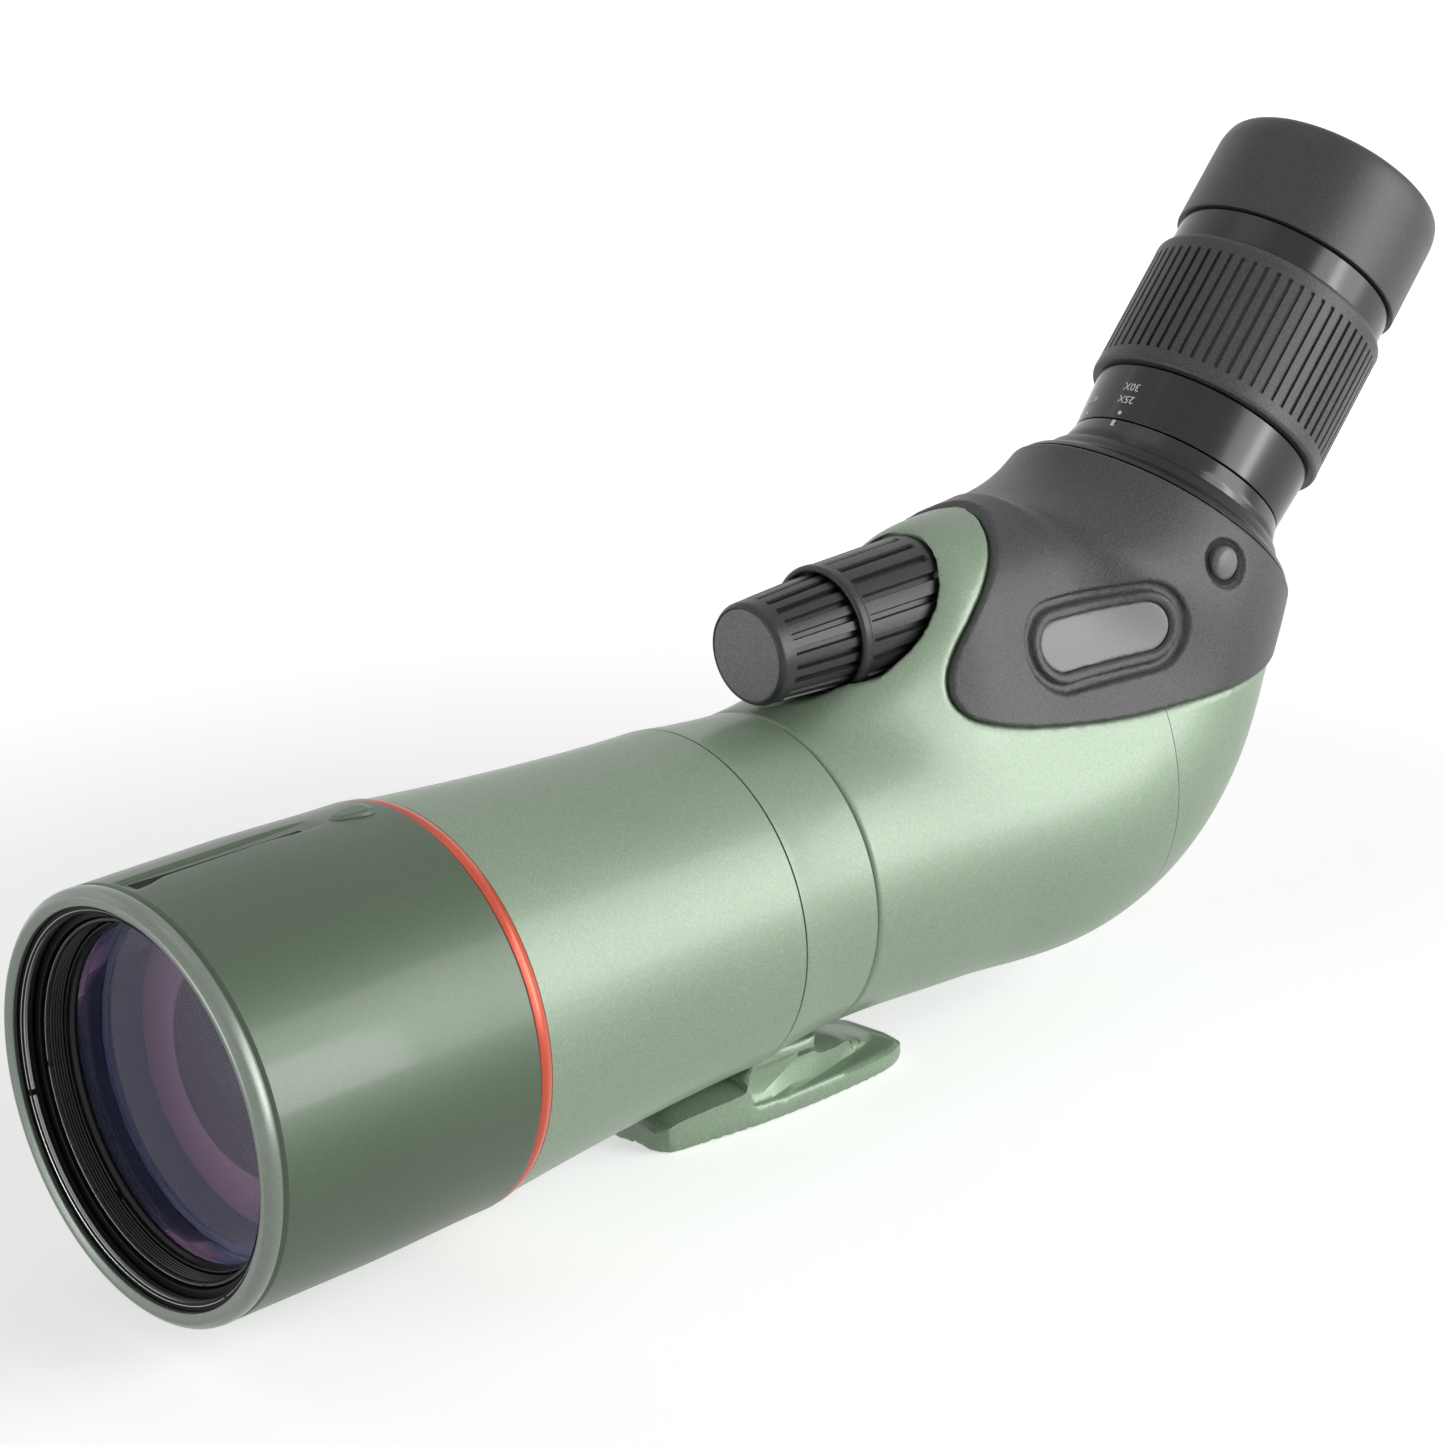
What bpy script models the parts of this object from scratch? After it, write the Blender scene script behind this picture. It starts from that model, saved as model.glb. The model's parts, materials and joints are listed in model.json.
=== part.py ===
"""Angled spotting scope with a 66 mm objective, built piece by piece.

Units are metres and +Z is up. +X points at the view and +Y to the observer's left.
The origin is the centre of the tripod foot's underside. Three empties carry the
turned pieces: the optical axis, the eyepiece axis and the focus knobs' axis. On each
of them a station is a distance along the axis, and a profile point is
(radius, station).
"""
import math

import bpy
import bmesh
import numpy as np
from mathutils import Matrix, Vector

# ---------------------------------------------------------------- driving dimensions
AXIS_HEIGHT = 0.047            # foot's underside to the optical axis
EYEPIECE_ANGLE = math.radians(45.0)
SEAM = 0.0003                  # gap left between two pieces that meet
SLIDE_GAP = 0.0004             # gap left round a piece that slides or turns by hand

# Lengths along the optical axis, from the collar's rear seam forward
COLLAR_REAR = -0.0073
COLLAR_LENGTH = 0.0215
BARREL_LENGTH = 0.0685
ACCENT_WIDTH = 0.0032
HOOD_LENGTH = 0.0631
HOOD_OVERHANG = 0.0045         # hood's lip past the front of the barrel tube

# Front end, from the clear aperture outward
APERTURE_RADIUS = 0.033
LENS_RIM = 0.0008
CELL_WALL = 0.0011
TUBE_WALL = 0.0019
LINER_WALL = 0.0012
HOOD_WALL = 0.0027
HOOD_TAPER = 0.0008            # how much slimmer the hood is at the accent ring
ACCENT_SET = 0.0030            # barrel's shoulder under the accent ring
BAFFLE_WIDTH = 0.0062

# Barrel, collar and housing
HOUSING_RADIUS = 0.0337        # at the seam with the collar
WALL = 0.0028                  # cast wall of the housing
SLEEVE_WALL = 0.0020
SLEEVE_REACH = 0.0117          # barrel's sleeve inside the housing
WAIST = 0.0021                 # collar's front is this much larger than its rear
COLLAR_PAD = 0.0013            # depth of the friction liner's groove
COLLAR_PAD_LENGTH = 0.0090

# Foot
FOOT_FRONT = 0.033
FOOT_REAR = -0.034
FOOT_HALF_WIDTH = 0.0145
NOSE_HALF_WIDTH = 0.0095
FOOT_THICKNESS = 0.0050
NOSE_HEIGHT = 0.0078
INSERT_X = -0.0095
INSERT_RADIUS = 0.0048
THREAD_RADIUS = 0.00275        # tapping radius of a 1/4 inch screw
INSERT_HEIGHT = 0.0080
PIN_HOLE_X = 0.0055
PIN_HOLE_RADIUS = 0.0023
PIN_HOLE_DEPTH = 0.0045

# Collar clamp
CLAMP_BOSS_RADIUS = 0.0068
CLAMP_BOSS_REACH = 0.0385      # boss face from the optical axis
CLAMP_KNOB_RADIUS = 0.0082
CLAMP_KNOB_LENGTH = 0.0115
CLAMP_STEM_RADIUS = 0.0025

# Housing: where the line of sight folds, and the point the bend's sections fan round
FOLD_BACK = 0.0747             # housing's front seam to the fold
PIVOT_AHEAD = 0.0060
PIVOT_RISE = 0.0696
PORT_STATION = 0.0634          # housing's top face along the eyepiece axis
PORT_RADIUS = HOUSING_RADIUS - 0.0001
PORT_PLATE = 0.0054
PORT_BORE = 0.0210

# Focus knobs
KNOB_RISE = 0.0463             # optical axis to knob axis
FINE_FRONT = 0.0002            # fine knob's face from the collar's rear seam
FINE_LENGTH = 0.0215
FINE_RADIUS_FRONT = 0.0107
FINE_RADIUS_REAR = 0.0120
FINE_RIBS = 22
COARSE_LENGTH = 0.0266
COARSE_RADIUS_FRONT = 0.0135
COARSE_RADIUS_REAR = 0.0140
COARSE_RIBS = 20
KNOB_LAP = 0.0015              # fine knob's rear inside the coarse knob's rim
POCKET_GAP = 0.0007
GROOVE_WIDTH = 0.0013
GROOVE_DEPTH = 0.0006
FINE_SHAFT_RADIUS = 0.0020
COARSE_SHAFT_RADIUS = 0.0036

# Focusing carriage and prism
CARRIAGE_CLEARANCE = 0.0057    # housing's inner wall to the carriage
CARRIAGE_RADIUS = HOUSING_RADIUS - WALL - CARRIAGE_CLEARANCE
CARRIAGE_WALL = 0.0026
CARRIAGE_LENGTH = 0.0235
CARRIAGE_REAR = 0.0070         # gap behind the carriage to the prism plate
NUT_RADIUS = 0.0070
NUT_LENGTH = 0.0040
ROD_RADIUS = 0.0012
ROD_DROP = CARRIAGE_RADIUS + ROD_RADIUS + 0.0009
FRONT_PLATE_WIDTH = 0.0091
CELL_RING = 0.0020
PRISM_REACH = 0.0160           # prism's apex above the optical axis
PRISM_FACE = 0.0350
PRISM_HALF_WIDTH = 0.0140
PRISM_ROOF = 0.0080
BRACKET_PLATE = 0.0025
BRACKET_CHEEK = 0.0020

# Rubber armour, nameplate and release button
ARMOUR_PROUD = 0.0008
ARMOUR_SEAT = 0.0010
COVER_SEAM_BACK = 0.0857       # housing's front seam to the rear cover
BADGE_LENGTH = 0.0340
BADGE_HEIGHT = 0.0105
BADGE_FRAME = 0.0022
BADGE_MARGIN = 0.0030
BADGE_RAISE = 0.0005           # frame's height above the armour round it
BADGE_RISE = 0.0360            # optical axis to the plate's middle
BUTTON_STATION = 0.0544        # release button along the eyepiece axis
BUTTON_OFFSET = 0.0092         # and ahead of that axis
BUTTON_RADIUS = 0.0037
BUTTON_STAND = 0.0015          # button's face above the armour's
BUTTON_RECESS = 0.0051
BUTTON_RECESS_DEPTH = 0.0011
BUTTON_TRAVEL = 0.0016
BUTTON_WELL = 0.0070           # armour's face to the well's floor
LATCH_PIN_RADIUS = 0.0015
COVER_TOP = 0.0300             # rear cover's hidden top edge above the optical axis

# Eyepiece, from the port outward along its axis
CONE_HEIGHT = 0.0063
CONE_TOP_RADIUS = 0.0274
INDEX_HEIGHT = 0.0058
INDEX_RADIUS = 0.0259
SCALE_HEIGHT = 0.0137
SCALE_RADIUS_LOW = 0.0247
SCALE_RADIUS_HIGH = 0.0255
GRIP_LENGTH = 0.0337
GRIP_RADIUS = 0.0273
GRIP_RIBS = 60
GRIP_BORDER = 0.0035
GRIP_GROOVE = 0.0010
NECK_HEIGHT = 0.0075
NECK_RADIUS = 0.0255
CUP_LENGTH = 0.0254
CUP_RADIUS = 0.0265
CUP_WALL = 0.0018
CUP_LIP = 0.0038
CUP_MOUTH = 0.0190
GUIDE_BORE = 0.0175
GUIDE_WALL = 0.0020
BAYONET_BORE = 0.0150
BAYONET_WALL = 0.0017
BAYONET_DEPTH = 0.0164         # eyepiece barrel below the port
BAYONET_RING_WALL = 0.0017
SPIGOT_DEPTH = 0.0134
ZOOM_PIN_RADIUS = 0.0010

# Facets round a turn
BODY_SIDES = 32
EYEPIECE_SIDES = 32
GRIP_SIDES = 60
KNOB_SIDES = 30
INNER_SIDES = 24
CELL_SIDES = 16
SMALL_SIDES = 16
SHELL_SIDES = 28
CAVITY_SIDES = 24

# ------------------------------------------------------------------ worked-out places
X_COLLAR = COLLAR_REAR
X_BARREL = X_COLLAR + COLLAR_LENGTH
X_ACCENT = X_BARREL + BARREL_LENGTH
X_HOOD = X_ACCENT + ACCENT_WIDTH
X_FRONT = X_HOOD + HOOD_LENGTH
X_TUBE = X_FRONT - HOOD_OVERHANG

LENS_RADIUS = APERTURE_RADIUS + LENS_RIM
CELL_BORE = LENS_RADIUS + SEAM
CELL_RADIUS = CELL_BORE + CELL_WALL
TUBE_BORE = CELL_RADIUS + SEAM
TUBE_RADIUS = TUBE_BORE + TUBE_WALL
LINER_BORE = TUBE_RADIUS + SLIDE_GAP
LINER_RADIUS = LINER_BORE + LINER_WALL
HOOD_BORE = LINER_RADIUS + SEAM
HOOD_RADIUS = HOOD_BORE + HOOD_WALL
HOOD_REAR_RADIUS = HOOD_RADIUS - HOOD_TAPER
BARREL_RADIUS = TUBE_RADIUS + ACCENT_SET

COLLAR_RADIUS = HOUSING_RADIUS + WAIST
SLEEVE_RADIUS = HOUSING_RADIUS - WALL - SEAM
SLEEVE_BORE = SLEEVE_RADIUS - SLEEVE_WALL
X_SLEEVE = X_COLLAR - SLEEVE_REACH
COLLAR_BORE = SLEEVE_RADIUS + SEAM

X_FOLD = X_COLLAR - FOLD_BACK
X_COVER = X_COLLAR - COVER_SEAM_BACK
X_PRISM = X_FOLD + PRISM_REACH * (math.sqrt(2.0) - 1.0)
X_PLATE = X_PRISM + SEAM

X_FINE = X_COLLAR + FINE_FRONT
X_COARSE = X_FINE - FINE_LENGTH + KNOB_LAP
X_KNOB_REAR = X_COARSE - COARSE_LENGTH
POCKET_RADIUS = COARSE_RADIUS_REAR + POCKET_GAP
X_POCKET = X_KNOB_REAR - 2 * SEAM

S_PORT = PORT_STATION
S_MOUNT = S_PORT + SEAM
S_INDEX = S_MOUNT + CONE_HEIGHT
S_SCALE = S_INDEX + INDEX_HEIGHT
S_GRIP = S_SCALE + SCALE_HEIGHT
S_NECK = S_GRIP + GRIP_LENGTH
S_CUP = S_NECK + NECK_HEIGHT
S_TOP = S_CUP + CUP_LENGTH
GUIDE_RADIUS = GUIDE_BORE + GUIDE_WALL
BAYONET_RADIUS = BAYONET_BORE + BAYONET_WALL
RING_BORE = BAYONET_RADIUS + SEAM
RING_RADIUS = RING_BORE + BAYONET_RING_WALL
MOUNT_BORE = RING_RADIUS + SEAM
SPIGOT_RADIUS = PORT_BORE - SEAM
ZOOM_BORE = GUIDE_RADIUS + SEAM
CUP_BORE = CUP_RADIUS - CUP_WALL

# --------------------------------------------------------------------- scene and tools
for old in list(bpy.data.objects):
    bpy.data.objects.remove(old, do_unlink=True)


def collection(name):
    made = bpy.data.collections.new(name)
    bpy.context.scene.collection.children.link(made)
    return made


PARTS = collection("spotting_scope")
CUTTERS = collection("cutters")
CLEAN = "MANIFOLD"             # solver for lofted shells, whose long slivers defeat EXACT


def empty(name, location, turn=0.0):
    """An axis: its local +Z is the direction that stations run in."""
    made = bpy.data.objects.new(name, None)
    made.location = location
    made.rotation_euler = (0.0, turn, 0.0)
    PARTS.objects.link(made)
    return made


OPTICAL = empty("optical_axis", (0.0, 0.0, AXIS_HEIGHT), math.pi / 2)
KNOBS = empty("knob_axis", (0.0, 0.0, AXIS_HEIGHT + KNOB_RISE), math.pi / 2)
EYEPIECE = empty("eyepiece_axis", (X_FOLD, 0.0, AXIS_HEIGHT), EYEPIECE_ANGLE - math.pi / 2)


def finish(name, colour, roughness, metallic=0.0, transmission=0.0):
    made = bpy.data.materials.new(name)
    made.use_nodes = True
    shader = made.node_tree.nodes["Principled BSDF"]
    shader.inputs["Base Color"].default_value = (*colour, 1.0)
    shader.inputs["Roughness"].default_value = roughness
    shader.inputs["Metallic"].default_value = metallic
    shader.inputs["Transmission Weight"].default_value = transmission
    made.diffuse_color = (*colour, 1.0)
    return made


BODY_GREEN = finish("body_green", (0.36, 0.46, 0.34), 0.38, 0.5)
HOOD_GREEN = finish("hood_green", (0.16, 0.24, 0.17), 0.36, 0.5)
ACCENT_RED = finish("accent_red", (0.75, 0.13, 0.05), 0.35, 0.4)
RUBBER = finish("rubber", (0.045, 0.045, 0.047), 0.75)
KNOB_BLACK = finish("knob_black", (0.05, 0.05, 0.052), 0.6)
GLOSS_BLACK = finish("gloss_black", (0.012, 0.012, 0.013), 0.18)
MATT_BLACK = finish("matt_black", (0.015, 0.015, 0.016), 0.7)
STEEL = finish("steel", (0.55, 0.56, 0.57), 0.3, 1.0)
BRASS = finish("brass", (0.6, 0.45, 0.2), 0.35, 1.0)
NAMEPLATE = finish("nameplate", (0.42, 0.43, 0.44), 0.35, 0.9)
NYLON = finish("nylon", (0.8, 0.8, 0.76), 0.5)
GLASS = finish("coated_glass", (0.55, 0.5, 0.75), 0.02, 0.0, 0.9)


def place(name, mesh, parent=None, material=None, group=PARTS):
    made = bpy.data.objects.new(name, mesh)
    group.objects.link(made)
    made.parent = parent
    if material:
        mesh.materials.append(material)
    if group is CUTTERS:
        made.hide_render = True
        made.display_type = "WIRE"
    return made


def turned(name, profile, parent, material=None, sides=BODY_SIDES, closed=True, group=PARTS):
    """Turn (radius, station) points round the parent's axis.

    The points run down the outside, from the far end to the near one, and a closed
    profile comes back up its bore.
    """
    mesh = bpy.data.meshes.new(name)
    edges = [(i, i + 1) for i in range(len(profile) - 1)]
    if closed:
        edges.append((len(profile) - 1, 0))
    mesh.from_pydata([(r, 0.0, s) for r, s in profile], edges, [])
    made = place(name, mesh, parent, material, group)
    screw = made.modifiers.new("turn", "SCREW")
    screw.axis = "Z"
    screw.angle = 2 * math.pi
    screw.steps = sides
    screw.render_steps = sides
    screw.use_merge_vertices = True
    screw.merge_threshold = 0.00001
    screw.use_smooth_shade = True
    return made


def rod(name, radius, low, high, parent, material=None, sides=SMALL_SIDES, group=PARTS):
    profile = [(0.0, high), (radius, high), (radius, low), (0.0, low)]
    return turned(name, profile, parent, material, sides, False, group)


def tube(name, inner, outer, low, high, parent, material=None, sides=BODY_SIDES):
    profile = [(outer, high), (outer, low), (inner, low), (inner, high)]
    return turned(name, profile, parent, material, sides)


def boolean(target, operation, tools, solver):
    for tool in tools:
        step = target.modifiers.new(operation.lower(), "BOOLEAN")
        step.operation = operation
        step.solver = solver
        step.object = tool
    return target


def cut(target, *tools, solver="EXACT"):
    return boolean(target, "DIFFERENCE", tools, solver)


def join(target, *tools, solver="EXACT"):
    return boolean(target, "UNION", tools, solver)


def keep(target, *tools, solver="EXACT"):
    return boolean(target, "INTERSECT", tools, solver)


def block(name, low, high, parent=None, material=None, group=CUTTERS):
    """A box between two corners."""
    low, high = Vector(low), Vector(high)
    work = bmesh.new()
    size = Matrix.Diagonal((*(high - low), 1.0))
    bmesh.ops.create_cube(work, size=1.0, matrix=Matrix.Translation((low + high) / 2) @ size)
    mesh = bpy.data.meshes.new(name)
    work.to_mesh(mesh)
    work.free()
    return place(name, mesh, parent, material, group)


def peg(name, radius, centre, direction, length, sides=SMALL_SIDES, parent=None,
        material=None, group=CUTTERS):
    """A cylinder from centre along direction."""
    direction = Vector(direction).normalized()
    turn = direction.to_track_quat("Z", "Y").to_matrix().to_4x4()
    middle = Vector(centre) + direction * (length / 2)
    work = bmesh.new()
    bmesh.ops.create_cone(work, cap_ends=True, segments=sides, radius1=radius,
                          radius2=radius, depth=length,
                          matrix=Matrix.Translation(middle) @ turn)
    mesh = bpy.data.meshes.new(name)
    work.to_mesh(mesh)
    work.free()
    return place(name, mesh, parent, material, group)


def slab(name, outline, low, high, plane, parent=None, material=None, group=CUTTERS):
    """A flat outline given thickness: plane "XZ" has points (x, z), "XY" has (x, y)."""
    work = bmesh.new()
    if plane == "XZ":
        corners = [work.verts.new((x, low, z)) for x, z in outline]
        travel = Vector((0.0, high - low, 0.0))
    else:
        corners = [work.verts.new((x, y, low)) for x, y in outline]
        travel = Vector((0.0, 0.0, high - low))
    face = work.faces.new(corners)
    grown = bmesh.ops.extrude_face_region(work, geom=[face])["geom"]
    moved = [v for v in grown if isinstance(v, bmesh.types.BMVert)]
    bmesh.ops.translate(work, verts=moved, vec=travel)
    bmesh.ops.recalc_face_normals(work, faces=work.faces)
    mesh = bpy.data.meshes.new(name)
    work.to_mesh(mesh)
    work.free()
    return place(name, mesh, parent, material, group)


def smooth_line(points, steps, closed=False):
    """Catmull-Rom points through the given rows, which may have any number of columns."""
    rows = np.array(points, float)
    count = len(rows)
    line = []
    for i in range(count if closed else count - 1):
        if closed:
            a, b, c, d = (rows[(i + k) % count] for k in (-1, 0, 1, 2))
        else:
            a, b, c, d = (rows[min(max(i + k, 0), count - 1)] for k in (-1, 0, 1, 2))
        for j in range(steps):
            t = j / steps
            line.append(0.5 * (2 * b + (c - a) * t + (2 * a - 5 * b + 4 * c - d) * t * t
                               + (3 * b - a - 3 * c + d) * t ** 3))
    if not closed:
        line.append(rows[-1])
    return np.array(line)


def arc(centre, radius, start, end, steps):
    """Points (x, z) on an arc, angles in degrees."""
    angles = np.radians(np.linspace(start, end, steps + 1))
    return [(centre[0] + radius * math.cos(a), centre[1] + radius * math.sin(a))
            for a in angles]


def stadium(centre, length, height, steps=8):
    """A level slot shape: two half circles joined by straight runs."""
    radius = height / 2
    reach = length / 2 - radius
    right = arc((centre[0] + reach, centre[1]), radius, -90, 90, steps)
    left = arc((centre[0] - reach, centre[1]), radius, 90, 270, steps)
    return right + left


def baked(name, source, parent=None, material=None):
    """A plain mesh object with the source's modifiers applied."""
    bpy.context.view_layer.update()
    graph = bpy.context.evaluated_depsgraph_get()
    mesh = bpy.data.meshes.new_from_object(source.evaluated_get(graph))
    mesh.materials.clear()
    return place(name, mesh, parent, material)


def shade(target, angle=30.0):
    """Smooth shading that keeps edges sharper than the angle."""
    target.data.shade_smooth()
    target.data.set_sharp_from_angle(angle=math.radians(angle))


# ------------------------------------------------------------------ collar and its foot
def foot_plan(inset=0.0):
    """The foot's plan: a blunt nose, fullest behind the middle, narrowing to the rear."""
    half = [
        (FOOT_FRONT, 0.55 * NOSE_HALF_WIDTH), (FOOT_FRONT - 0.0012, 0.90 * NOSE_HALF_WIDTH),
        (FOOT_FRONT - 0.0040, NOSE_HALF_WIDTH + 0.0008),
        (0.4 * FOOT_FRONT, 0.92 * FOOT_HALF_WIDTH), (0.2 * FOOT_REAR, FOOT_HALF_WIDTH),
        (0.7 * FOOT_REAR, 0.96 * FOOT_HALF_WIDTH), (FOOT_REAR + 0.0035, 0.83 * FOOT_HALF_WIDTH),
        (FOOT_REAR + 0.0008, 0.66 * FOOT_HALF_WIDTH), (FOOT_REAR, 0.42 * FOOT_HALF_WIDTH)]
    middle = (FOOT_FRONT + FOOT_REAR) / 2
    along = 1 - 2 * inset / (FOOT_FRONT - FOOT_REAR)
    half = [(middle + (x - middle) * along, y - inset) for x, y in half]
    return half + [(x, -y) for x, y in reversed(half)]


def make_foot(top):
    """The foot and its neck: a side profile crossed with the plan, stepped and scooped."""
    chamfer = 0.0006
    crown = AXIS_HEIGHT - COLLAR_RADIUS
    foot = loft("foot", [[(x, y, z) for x, y in foot_plan(inset)] for inset, z in
                         ((chamfer, 0.0), (0.0, chamfer), (0.0, top + 0.001))])
    nose = [
        (FOOT_FRONT + 0.001, -0.001), (FOOT_FRONT + 0.001, 0.50 * NOSE_HEIGHT),
        (FOOT_FRONT - 0.0002, 0.68 * NOSE_HEIGHT), (FOOT_FRONT - 0.0015, 0.87 * NOSE_HEIGHT),
        (FOOT_FRONT - 0.0040, NOSE_HEIGHT),
        (X_BARREL + 0.45 * (FOOT_FRONT - X_BARREL), crown - 0.0020),
        (X_BARREL + 0.0004, crown - 0.0007), (X_BARREL - 0.0016, crown + 0.0008),
        (X_BARREL - 0.0040, top)]
    under = AXIS_HEIGHT - HOUSING_RADIUS - 0.0009
    tier = [(X_COLLAR + 0.0010, top), (X_COLLAR + 0.0010, under),
            (0.4 * FOOT_REAR + 0.6 * X_COLLAR, FOOT_THICKNESS + 0.0042),
            (FOOT_REAR + 0.0045, FOOT_THICKNESS), (FOOT_REAR - 0.001, FOOT_THICKNESS - 0.0006),
            (FOOT_REAR - 0.001, -0.001)]
    keep(foot, slab("foot_side", nose + tier, -0.030, 0.030, "XZ"))
    ledge = 0.36 * FOOT_FRONT
    inset = 0.0026
    for side in (1, -1):
        line = [(ledge, side * 0.030), (ledge, side * (FOOT_HALF_WIDTH - 0.0008)),
                (ledge - 0.0012, side * (FOOT_HALF_WIDTH - inset)),
                (0.25 * FOOT_REAR, side * (FOOT_HALF_WIDTH - inset)),
                (FOOT_REAR + 0.0030, side * 0.45 * FOOT_HALF_WIDTH),
                (FOOT_REAR - 0.002, side * 0.45 * FOOT_HALF_WIDTH),
                (FOOT_REAR - 0.002, side * 0.030)]
        cut(foot, slab("foot_step", line, FOOT_THICKNESS - 0.0002, under + 0.0001, "XY"))
    low = Vector((FOOT_REAR, 0.0, FOOT_THICKNESS + 0.0080))
    high = Vector((X_COLLAR - 0.0020, 0.0, under + 0.0054))
    run = high - low
    cut(foot, peg("foot_scoop", 0.0065, low - 0.3 * run, run, 1.2 * run.length))
    return foot


def make_collar():
    """The casting that the scope turns in, with its foot and clamp boss."""
    middle = (X_COLLAR + X_BARREL) / 2
    pad_front = middle + COLLAR_PAD_LENGTH / 2
    pad_rear = middle - COLLAR_PAD_LENGTH / 2
    pad_radius = COLLAR_BORE + COLLAR_PAD
    band = turned("tripod_collar", [
        (0.0, X_BARREL), (COLLAR_RADIUS, X_BARREL),
        (HOUSING_RADIUS + 0.33 * WAIST, X_COLLAR + 0.45 * COLLAR_LENGTH),
        (HOUSING_RADIUS, X_COLLAR), (0.0, X_COLLAR)], OPTICAL, BODY_GREEN, closed=False)
    boss = peg("clamp_boss", CLAMP_BOSS_RADIUS, (middle, -CLAMP_BOSS_REACH, AXIS_HEIGHT),
               (0, 1, 0), CLAMP_BOSS_REACH - COLLAR_BORE + 0.0004, 24)
    join(band, make_foot(AXIS_HEIGHT - COLLAR_BORE + 0.0012), boss)
    bore = turned("collar_bore", [
        (0.0, X_BARREL + 0.001), (COLLAR_BORE, X_BARREL + 0.001), (COLLAR_BORE, pad_front),
        (pad_radius, pad_front), (pad_radius, pad_rear), (COLLAR_BORE, pad_rear),
        (COLLAR_BORE, X_COLLAR - 0.001), (0.0, X_COLLAR - 0.001)], OPTICAL, closed=False,
        group=CUTTERS)
    stem_hole = peg("stem_hole", CLAMP_STEM_RADIUS + SEAM,
                    (middle, -CLAMP_BOSS_REACH - 0.001, AXIS_HEIGHT), (0, 1, 0), 0.012, 16)
    insert_hole = peg("insert_hole", INSERT_RADIUS + SEAM, (INSERT_X, 0, -0.001), (0, 0, 1),
                      INSERT_HEIGHT + 2 * SEAM + 0.001, 24)
    pin_hole = peg("pin_hole", PIN_HOLE_RADIUS, (PIN_HOLE_X, 0, -0.001), (0, 0, 1),
                   PIN_HOLE_DEPTH + 0.001, 16)
    cut(band, bore, stem_hole, insert_hole, pin_hole)

    tube("collar_liner", COLLAR_BORE + 0.0001, pad_radius - SEAM, pad_rear + SEAM,
         pad_front - SEAM, OPTICAL, NYLON, INNER_SIDES)
    foot = empty("foot_axis", (INSERT_X, 0.0, 0.0))
    tube("tripod_insert", THREAD_RADIUS, INSERT_RADIUS, 0.0001, INSERT_HEIGHT, foot, STEEL,
         SMALL_SIDES)


def make_clamp():
    """The collar's lock: a ribbed knob on a threaded stem, on the observer's right."""
    middle = (X_COLLAR + X_BARREL) / 2
    tip = COLLAR_BORE + COLLAR_PAD
    axis = empty("clamp_axis", (middle, 0.0, AXIS_HEIGHT))
    axis.rotation_euler = (math.pi / 2, 0.0, 0.0)
    face = CLAMP_BOSS_REACH + SLIDE_GAP
    end = face + CLAMP_KNOB_LENGTH
    knob = turned("collar_clamp_knob", [
        (0.0, end), (CLAMP_KNOB_RADIUS - 0.0012, end), (CLAMP_KNOB_RADIUS, end - 0.0012),
        (CLAMP_KNOB_RADIUS, face + 0.0030), (CLAMP_KNOB_RADIUS - 0.0018, face),
        (CLAMP_STEM_RADIUS, face), (CLAMP_STEM_RADIUS, tip), (0.0, tip)],
        axis, KNOB_BLACK, INNER_SIDES, False)
    ribs(knob, axis, 12, CLAMP_KNOB_RADIUS, CLAMP_KNOB_RADIUS, face + 0.0036, end + 0.001)


def ribs(target, axis, count, radius_low, radius_high, low, high, width=GROOVE_WIDTH,
         depth=GROOVE_DEPTH):
    """Cut lengthwise grooves, so that the lands between them stand as ribs."""
    work = bmesh.new()
    length = high - low
    lean = math.atan2(radius_high - radius_low, length)
    for k in range(count):
        size = Matrix.Diagonal((2 * depth, width, length, 1.0))
        out = Matrix.Translation(((radius_low + radius_high) / 2, 0.0, (low + high) / 2))
        spin = Matrix.Rotation(2 * math.pi * (k + 0.5) / count, 4, "Z")
        tilt = Matrix.Rotation(lean, 4, "Y")
        bmesh.ops.create_cube(work, size=1.0, matrix=spin @ out @ tilt @ size)
    mesh = bpy.data.meshes.new(target.name + "_grooves")
    work.to_mesh(mesh)
    work.free()
    cut(target, place(target.name + "_grooves", mesh, axis, group=CUTTERS))


# ------------------------------------------------------------------------- barrel, hood
def barrel_radius(x):
    """The barrel's waist: slim at the collar, flaring to the accent ring."""
    share = (x - X_BARREL) / BARREL_LENGTH
    return COLLAR_RADIUS + (BARREL_RADIUS - COLLAR_RADIUS) * max(share, 0.0) ** 1.6


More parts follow.
